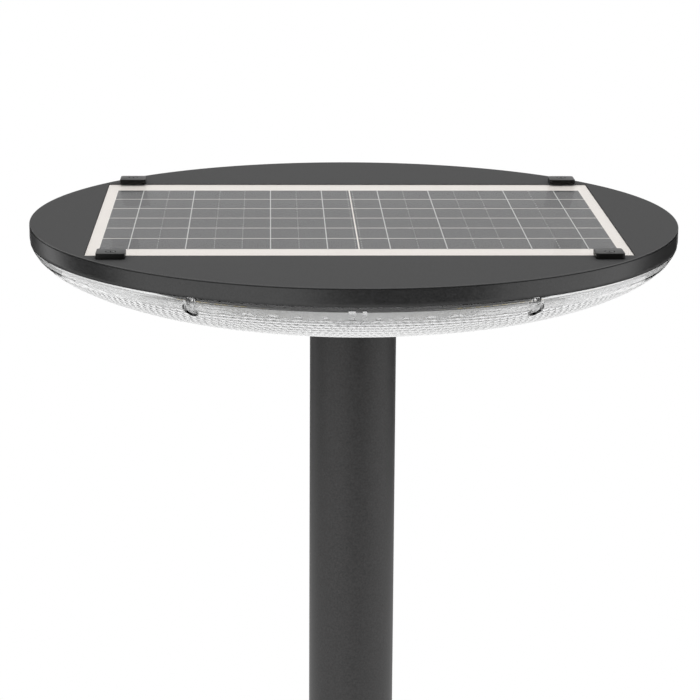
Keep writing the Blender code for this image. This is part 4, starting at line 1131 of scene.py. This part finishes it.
def lens_outline(clear, turns):
    """Rings (radius, height) round the lens: band, scales, flat, plain inside and top flange.

    The scales' radii and heights vary round the bowl, with the turns counted in scales.
    """
    outside, inside = bowl_curve(clear), bowl_curve(clear, clear.wall)
    band = np.linspace(0.0, 1.0, WAVE_RINGS * clear.waves, endpoint=False)
    points, normals = along(outside, clear.band * band)
    waves = clear.wave_depth * np.cos(math.tau * clear.waves * band)
    outline = list(points + normals * (waves - clear.wave_depth)[:, None])
    growth = clear.row_growth
    scaled = (outside[2][-1] - clear.band) / clear.scale_row
    row_count = int(math.log(1.0 + scaled * (growth - 1.0)) / math.log(growth))
    rows = np.arange(row_count * DOWN + 1) / DOWN
    run = clear.band + clear.scale_row * (growth**rows - 1.0) / (growth - 1.0)
    settle = SUNK * np.minimum(rows, 1.0)[:, None]
    lift = clear.scale_depth * (scale_height(clear, turns, rows) - settle)
    for point, normal, offsets in zip(*along(outside, run), lift):
        outline.append((point[0] + normal[0] * offsets, point[1] + normal[1] * offsets))
    inner = COVER_HIGH.x - clear.cover_flange + clear.edge_clearance
    outline += [(inner, LENS_LOW.z), (inner, LENS_LOW.z + clear.wall)]
    flange_z = LENS_HIGH.z - clear.flange
    upward = along(inside, np.linspace(inside[2][-1], 0.0, INNER_RINGS))[0]
    upward = upward[upward[:, 1] < flange_z]
    edge = HEAD_RADIUS - clear.flange_reach
    return [*outline, *upward, (upward[-1][0], flange_z), (edge, flange_z), (edge, LENS_HIGH.z)]


def lens_rings(clear):
    """Rings of points round the lens."""
    turns = np.arange(clear.scales * ACROSS) / ACROSS
    angles = turns * math.tau / clear.scales
    rings = []
    for radius, height in lens_outline(clear, turns):
        height = np.broadcast_to(height, angles.shape)
        ring = np.stack([radius * np.cos(angles), radius * np.sin(angles), height], axis=1)
        rings.append(ring.tolist())
    return rings


class LAMP_OT_lens(bpy.types.Operator):
    """Make the clear lens with its prismatic scales, screw wells and lug"""

    bl_idname = "lamp.lens"
    bl_label = "Prismatic Lens"

    def execute(self, context):
        scene = context.scene
        clear = scene.lamp_lens
        hole = scene.lamp_clips.small_shank + GAP
        post = clear.well + clear.well_wall
        low, seat = LENS_LOW.z, LENS_HIGH.z - clear.flange
        top = LENS_HIGH.z - clear.flange / 2
        posts, wells, holes, lug = (bmesh.new() for _ in range(4))
        for node in nodes_of("lens_screw"):
            middle = middle_of(node)
            add_post(posts, post, middle, low, top, WELL_STEPS)
            add_post(wells, clear.well, middle, low, seat, WELL_STEPS)
            add_post(holes, hole, middle, seat - clear.flange, top + clear.flange)
        curve = [tuple(point) for point in bowl_curve(clear, clear.wall / 2)[0][::CORE_STRIDE]]
        core = [(0.0, curve[0][1]), *curve, (0.0, curve[-1][1])]
        bosses = carve("lens_bosses", posts, [("INTERSECT", turn(core, BOWL_STEPS))])
        upper = LENS_HIGH.z - clear.lug_drop
        back = clear.wall - LENS_HIGH.x
        for rib in LUG_RIBS:
            left, right = (clear.lug_place + clear.lug_width * side for side in rib)
            lower = (left, -LENS_HIGH.x - GAP, upper - clear.lug_height)
            add_box(lug, lower, (right, back, upper))
        steps = [("UNION", bosses), ("UNION", lug), ("DIFFERENCE", wells), ("DIFFERENCE", holes)]
        mesh = carve("lens_bowl", skin(lens_rings(clear)), steps)
        add_piece(scene, "lens_bowl", mesh, "head", "clear_lens", "lens")
        return {"FINISHED"}


# Pole, socket and coupler

# Shank of a socket screw as a share of its head
SOCKET_SHANK = 0.6


def tube_outline(outer, wall, low, high, chamfer):
    """Outline of a tube with chamfered ends."""
    inner = outer - wall
    side = [(0.0, high), (chamfer, high - chamfer), (chamfer, low + chamfer), (0.0, low)]
    outline = [(outer - chamfer + out, z) for out, z in side]
    return outline + [(inner + chamfer - out, z) for out, z in reversed(side)]


def coupler_drill(shank):
    """Holes for the coupler's screws through tube and coupler."""
    shape = bmesh.new()
    for node in nodes_of("coupler_screw"):
        middle = middle_of(node)
        reach = outward(middle) * POLE_RADIUS
        start = Vector((0.0, 0.0, middle.z)) + reach / 2
        add_rod(shape, shank + GAP, start, start + reach)
    return shape


class LAMP_OT_pole(bpy.types.Operator):
    """Make the painted tube"""

    bl_idname = "lamp.pole"
    bl_label = "Pole"

    def execute(self, context):
        scene = context.scene
        pole = scene.lamp_pole
        outline = tube_outline(POLE_RADIUS, pole.wall, POLE_LOW.z, POLE_HIGH.z, pole.chamfer)
        drill = coupler_drill(scene.lamp_clips.large_shank)
        mesh = cut("pole_section", turn(outline, pole.steps), drill)
        tube = add_piece(scene, "pole_section", mesh, "pole", "pole_paint", "pole_tube")
        tube.visible_glossy = False
        tube.visible_transmission = False
        return {"FINISHED"}


class LAMP_OT_coupler(bpy.types.Operator):
    """Make the galvanised coupler at the pole's foot"""

    bl_idname = "lamp.coupler"
    bl_label = "Coupler"

    def execute(self, context):
        scene = context.scene
        pole = scene.lamp_pole
        ends = (COUPLER_LOW.z, COUPLER_HIGH.z)
        outline = tube_outline(COUPLER_HIGH.x, pole.coupler_wall, *ends, 2 * pole.chamfer)
        drill = coupler_drill(scene.lamp_clips.large_shank)
        mesh = cut("spigot", turn(outline, pole.steps), drill)
        add_piece(scene, "spigot", mesh, "pole", "coupler_steel", "pole_coupler")
        return {"FINISHED"}


def socket_outline(pole):
    """Outline of the cast socket: cap, flange, fillet and sleeve."""
    bore = POLE_RADIUS + pole.socket_clearance
    sleeve = bore + pole.socket_wall
    edge = pole.socket_wall / 5
    under = SOCKET_HIGH.z - pole.socket_flange
    ceiling = POLE_HIGH.z + GAP
    outline = [(0.0, SOCKET_HIGH.z)]
    outline += arc((SOCKET_HIGH.x - edge, SOCKET_HIGH.z - edge), edge, 90, 0)
    outline += arc((SOCKET_HIGH.x - edge, under + edge), edge, 0, -90)
    fillet = pole.socket_fillet
    outline += arc((sleeve + fillet, under - fillet), fillet, 90, 180)
    outline += arc((sleeve - edge, SOCKET_LOW.z + edge), edge, 0, -90)
    outline += [(bore, SOCKET_LOW.z), (bore, ceiling), (0.0, ceiling)]
    return outline


class LAMP_OT_socket(bpy.types.Operator):
    """Make the cast socket that clamps the head on the pole"""

    bl_idname = "lamp.socket"
    bl_label = "Pole Socket"

    def execute(self, context):
        scene = context.scene
        pole = scene.lamp_pole
        drill = bmesh.new()
        for node in nodes_of("set_screw"):
            middle = middle_of(node)
            reach = outward(middle) * pole.socket_wall
            add_rod(drill, scene.lamp_clips.large_shank + GAP, middle - reach, middle + reach)
        low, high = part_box("socket_screw_1")
        shank = SOCKET_SHANK * (high.x - low.x) / 2
        add_screw_holes(drill, "socket_screw", shank + GAP, 0.0)
        mesh = cut("cast_socket", turn(socket_outline(pole), pole.steps), drill)
        add_piece(scene, "cast_socket", mesh, "head", "housing_paint", "pole_socket")
        return {"FINISHED"}


# Bottom cover and button

# Radii of the bezel's rim, the button, its hole and the bezel's neck
BEZEL_RIM = (BEZEL_HIGH.x - BEZEL_LOW.x) / 2
BUTTON_RADIUS = (BUTTON_HIGH.x - BUTTON_LOW.x) / 2
BUTTON_HOLE = BUTTON_RADIUS + GAP
BEZEL_NECK = BUTTON_HOLE + (BEZEL_RIM - BUTTON_HOLE) / 4

# Radius of the button's dish as a share of the button's
BUTTON_DISH = 0.6


def cover_outline(scene):
    """Outline of the cover: wall, flange under the lens, floor with a groove, and pole's hole."""
    clear, pole = scene.lamp_lens, scene.lamp_pole
    wall = COVER_HIGH.x - clear.cover_flange
    floor = LENS_LOW.z - GAP
    bore = wall - scene.lamp_housing.pocket_wall
    hole = POLE_RADIUS + pole.socket_clearance + pole.socket_wall + 2 * GAP
    edge = (floor - COVER_LOW.z) / 2
    outline = [(wall, COVER_HIGH.z), (wall, floor)]
    outline += arc((COVER_HIGH.x - edge, floor - edge), edge, 90, -90, 8)
    ring = (wall + hole) / 2 + 9 * edge
    low, groove = COVER_LOW.z, COVER_LOW.z + edge / 2
    outline += [(wall, low), (wall - edge, groove), (ring + edge, groove), (ring, low)]
    outline += [(hole + edge, low), (hole, low + edge), (hole, floor)]
    return outline + [(bore, floor), (bore, COVER_HIGH.z)]


class LAMP_OT_cover(bpy.types.Operator):
    """Make the bottom cover"""

    bl_idname = "lamp.cover"
    bl_label = "Bottom Cover"

    def execute(self, context):
        scene = context.scene
        drill = bmesh.new()
        add_screw_holes(drill, "cover_screw", scene.lamp_clips.small_shank + GAP, 0.0)
        middle = middle_of("button_bezel")
        high = BEZEL_HIGH.z + BEZEL_RIM
        add_post(drill, BEZEL_NECK + GAP, middle, BEZEL_LOW.z, high, BUTTON_STEPS)
        mesh = cut("cover_pan", turn(cover_outline(scene), BOWL_STEPS), drill)
        add_piece(scene, "cover_pan", mesh, "head", "cover_plastic", "bottom_cover")
        return {"FINISHED"}


def bezel_outline():
    """Outline of the bezel: neck, rim under the cover, and the button's hole."""
    low, high = BEZEL_LOW.z, BEZEL_HIGH.z
    shelf = COVER_LOW.z - GAP
    edge = (shelf - low) / 2.5
    hole = BUTTON_HOLE
    outline = [(BEZEL_NECK, high), (BEZEL_NECK, shelf), (BEZEL_RIM, shelf)]
    outline += arc((BEZEL_RIM - edge, low + edge), edge, 0, -90)
    return outline + [(hole + edge / 2, low), (hole, low + edge / 2), (hole, high)]


def button_outline():
    """Outline of the button: flat back, rounded edge and a shallow dish."""
    low, high = BUTTON_LOW.z, BUTTON_HIGH.z
    radius = BUTTON_RADIUS
    edge = radius / 6
    dish = low + edge / 2
    outline = [(0.0, high), (radius, high)]
    outline += arc((radius - edge, low + edge), edge, 0, -90)
    return outline + [(radius * BUTTON_DISH, dish), (0.0, dish + edge / 4)]


class LAMP_OT_button(bpy.types.Operator):
    """Make the push button and its bezel"""

    bl_idname = "lamp.button"
    bl_label = "Push Button"

    def execute(self, context):
        scene = context.scene
        middle = middle_of("button_bezel")
        centre = Matrix.Translation((middle.x, middle.y, 0.0))
        ring = turn(bezel_outline(), BUTTON_STEPS)
        add_piece(scene, "bezel_ring", ring, "head", "case_plastic", "button_bezel", place=centre)
        cap = turn(button_outline(), BUTTON_STEPS)
        add_piece(scene, "push_button", cap, "button", "button_rubber", "power_button", place=centre)
        return {"FINISHED"}


class LAMP_OT_inside(bpy.types.Operator):
    """Give every piece that stays as it is in the frame the finish of its slot"""

    bl_idname = "lamp.inside"
    bl_label = "Inner Pieces"

    def execute(self, context):
        for part in frame["record"]["subparts"]:
            node = frame["nodes"][part["node"]]
            if node.hide_render:
                continue
            node.data.materials.clear()
            node.data.materials.append(finish(context.scene, part["material_slot"]))
            node.data.set_sharp_from_angle(angle=SHARP_ANGLE)
        return {"FINISHED"}


# Stage

# Where each dark card starts and ends, in degrees to the right of the front
CARDS = ((-12.0, 42.0), (-114.0, -82.0), (-154.0, -130.0), (104.0, 150.0))

# Posts that shape a card, sides of the floor, and width of the camera's sensor in mm
CARD_POSTS = 13
FLOOR_SIDES = 96
SENSOR_WIDTH = 36.0
WHITE = (1.0, 1.0, 1.0, 1.0)


def seen_rays(sheet):
    """1 for rays from the camera, and 1 for rays off gloss or through clear pieces."""
    kinds = ("Is Camera Ray", "Is Glossy Ray", "Is Transmission Ray")
    camera, glossy, through = (sheet.add("ShaderNodeLightPath", output=kind) for kind in kinds)
    return camera, glossy + through


def add_world(stage):
    """White surroundings that light the lamp at a plain level."""
    world = bpy.data.worlds.new("studio")
    world.use_nodes = True
    bpy.context.scene.world = world
    sheet = Sheet(world.node_tree)
    camera, others = seen_rays(sheet)
    seen = sheet.maths("MINIMUM", camera + others, 1.0)
    strength = stage.ambient + (1.0 - stage.ambient) * seen
    sheet.feed(sheet.tree.nodes["Background"], {"Color": WHITE, "Strength": strength})


def add_prop(name, shape, surface):
    """A thing of the stage, with a material whose shader a function makes."""
    thing = put(name, as_mesh(name, shape))
    material = bpy.data.materials.new(name)
    material.use_nodes = True
    sheet = Sheet(material.node_tree)
    sheet.feed(sheet.tree.nodes["Material Output"], {"Surface": surface(sheet)})
    thing.data.materials.append(material)
    return thing


def add_floor(stage):
    """A pale floor that keeps the lamp's shadow and fades to white away from it."""

    def surface(sheet):
        camera, others = seen_rays(sheet)
        fade = sheet.ramp(sheet.radius(), stage.fade_start, stage.fade_end, "SMOOTHSTEP")
        white = sheet.maths("MINIMUM", camera * fade + others, 1.0)
        matte = sheet.add("ShaderNodeBsdfDiffuse", inputs={"Color": opaque(stage.floor)})
        bright = sheet.add("ShaderNodeEmission", inputs={"Color": WHITE, "Strength": 1.0})
        return sheet.add("ShaderNodeMixShader", inputs={0: white, 1: matte, 2: bright})

    ring = [polar(stage.floor_radius, math.tau * i / FLOOR_SIDES) for i in range(FLOOR_SIDES)]
    shape = bmesh.new()
    shape.faces.new([shape.verts.new(point) for point in ring])
    floor = add_prop("floor", shape, surface)
    floor.location.z = CAD_BOX[0][2] - GAP


def add_light(stage):
    """A large softbox overhead."""
    data = bpy.data.lights.new("overhead softbox", "AREA")
    data.shape = "SQUARE"
    data.size = stage.key_size
    data.energy = stage.key_power
    put("overhead softbox", data).location.z = stage.key_height


def add_cards(stage):
    """Dark cards round the lamp, which only show in what reflects."""

    def surface(sheet):
        return sheet.add("ShaderNodeBsdfDiffuse", inputs={"Color": opaque([stage.card_tone] * 3)})

    shape = bmesh.new()
    heights = (CAD_BOX[0][2], CAD_BOX[0][2] + stage.card_height)
    for start, end in CARDS:
        angles = np.radians(np.linspace(start, end, CARD_POSTS) - 90.0)
        posts = [[polar(stage.card_radius, angle, z) for z in heights] for angle in angles]
        posts = [[shape.verts.new(point) for point in post] for post in posts]
        for left, right in zip(posts, posts[1:]):
            shape.faces.new((left[0], right[0], right[1], left[1]))
    card = add_prop("cards", shape, surface)
    card.visible_camera = False
    card.visible_diffuse = False
    card.visible_transmission = False
    card.visible_shadow = False


def add_camera(stage):
    """The camera of the photograph."""
    data = bpy.data.cameras.new("camera")
    data.lens = stage.lens
    data.sensor_width = SENSOR_WIDTH
    level = math.cos(stage.pitch)
    ahead = Vector((
        level * math.sin(stage.yaw), level * math.cos(stage.yaw), -math.sin(stage.pitch)
    ))
    aim = ahead.to_track_quat("-Z", "Y") @ Quaternion((0.0, 0.0, 1.0), stage.roll)
    camera = put("camera", data)
    camera.matrix_world = Matrix.Translation(stage.eye) @ aim.to_matrix().to_4x4()
    bpy.context.scene.camera = camera


class LAMP_OT_stage(bpy.types.Operator):
    """Set the floor, the light and the camera"""

    bl_idname = "lamp.stage"
    bl_label = "Stage"

    def execute(self, context):
        stage = context.scene.lamp_stage
        for step in (add_world, add_floor, add_light, add_cards, add_camera):
            step(stage)
        context.scene.view_settings.view_transform = "Standard"
        return {"FINISHED"}


OPERATORS = (
    LAMP_OT_housing, LAMP_OT_panel, LAMP_OT_clips, LAMP_OT_screws, LAMP_OT_lens, LAMP_OT_pole,
    LAMP_OT_coupler, LAMP_OT_socket, LAMP_OT_cover, LAMP_OT_button, LAMP_OT_inside, LAMP_OT_stage,
)


class LAMP_PT_sidebar(bpy.types.Panel):
    """Lists the lamp's pieces in the sidebar"""

    bl_label = "Solar Street Lamp"
    bl_idname = "LAMP_PT_sidebar"
    bl_space_type = "VIEW_3D"
    bl_region_type = "UI"
    bl_category = "Street Lamp"

    def draw(self, context):
        for operator in OPERATORS:
            self.layout.operator(operator.bl_idname)


CLASSES = (*GROUPS.values(), *OPERATORS, LAMP_PT_sidebar)


def register():
    """Register the classes and hang the settings on the scene."""
    for kind in CLASSES:
        bpy.utils.register_class(kind)
    for name, group in GROUPS.items():
        setattr(bpy.types.Scene, name, PointerProperty(type=group))


def unregister():
    """Take the settings and the classes away again."""
    for name in GROUPS:
        delattr(bpy.types.Scene, name)
    for kind in reversed(CLASSES):
        bpy.utils.unregister_class(kind)


def main():
    """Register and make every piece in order."""
    register()
    for operator in OPERATORS:
        group, step = operator.bl_idname.split(".")
        getattr(getattr(bpy.ops, group), step)()


if __name__ == "__main__":
    main()
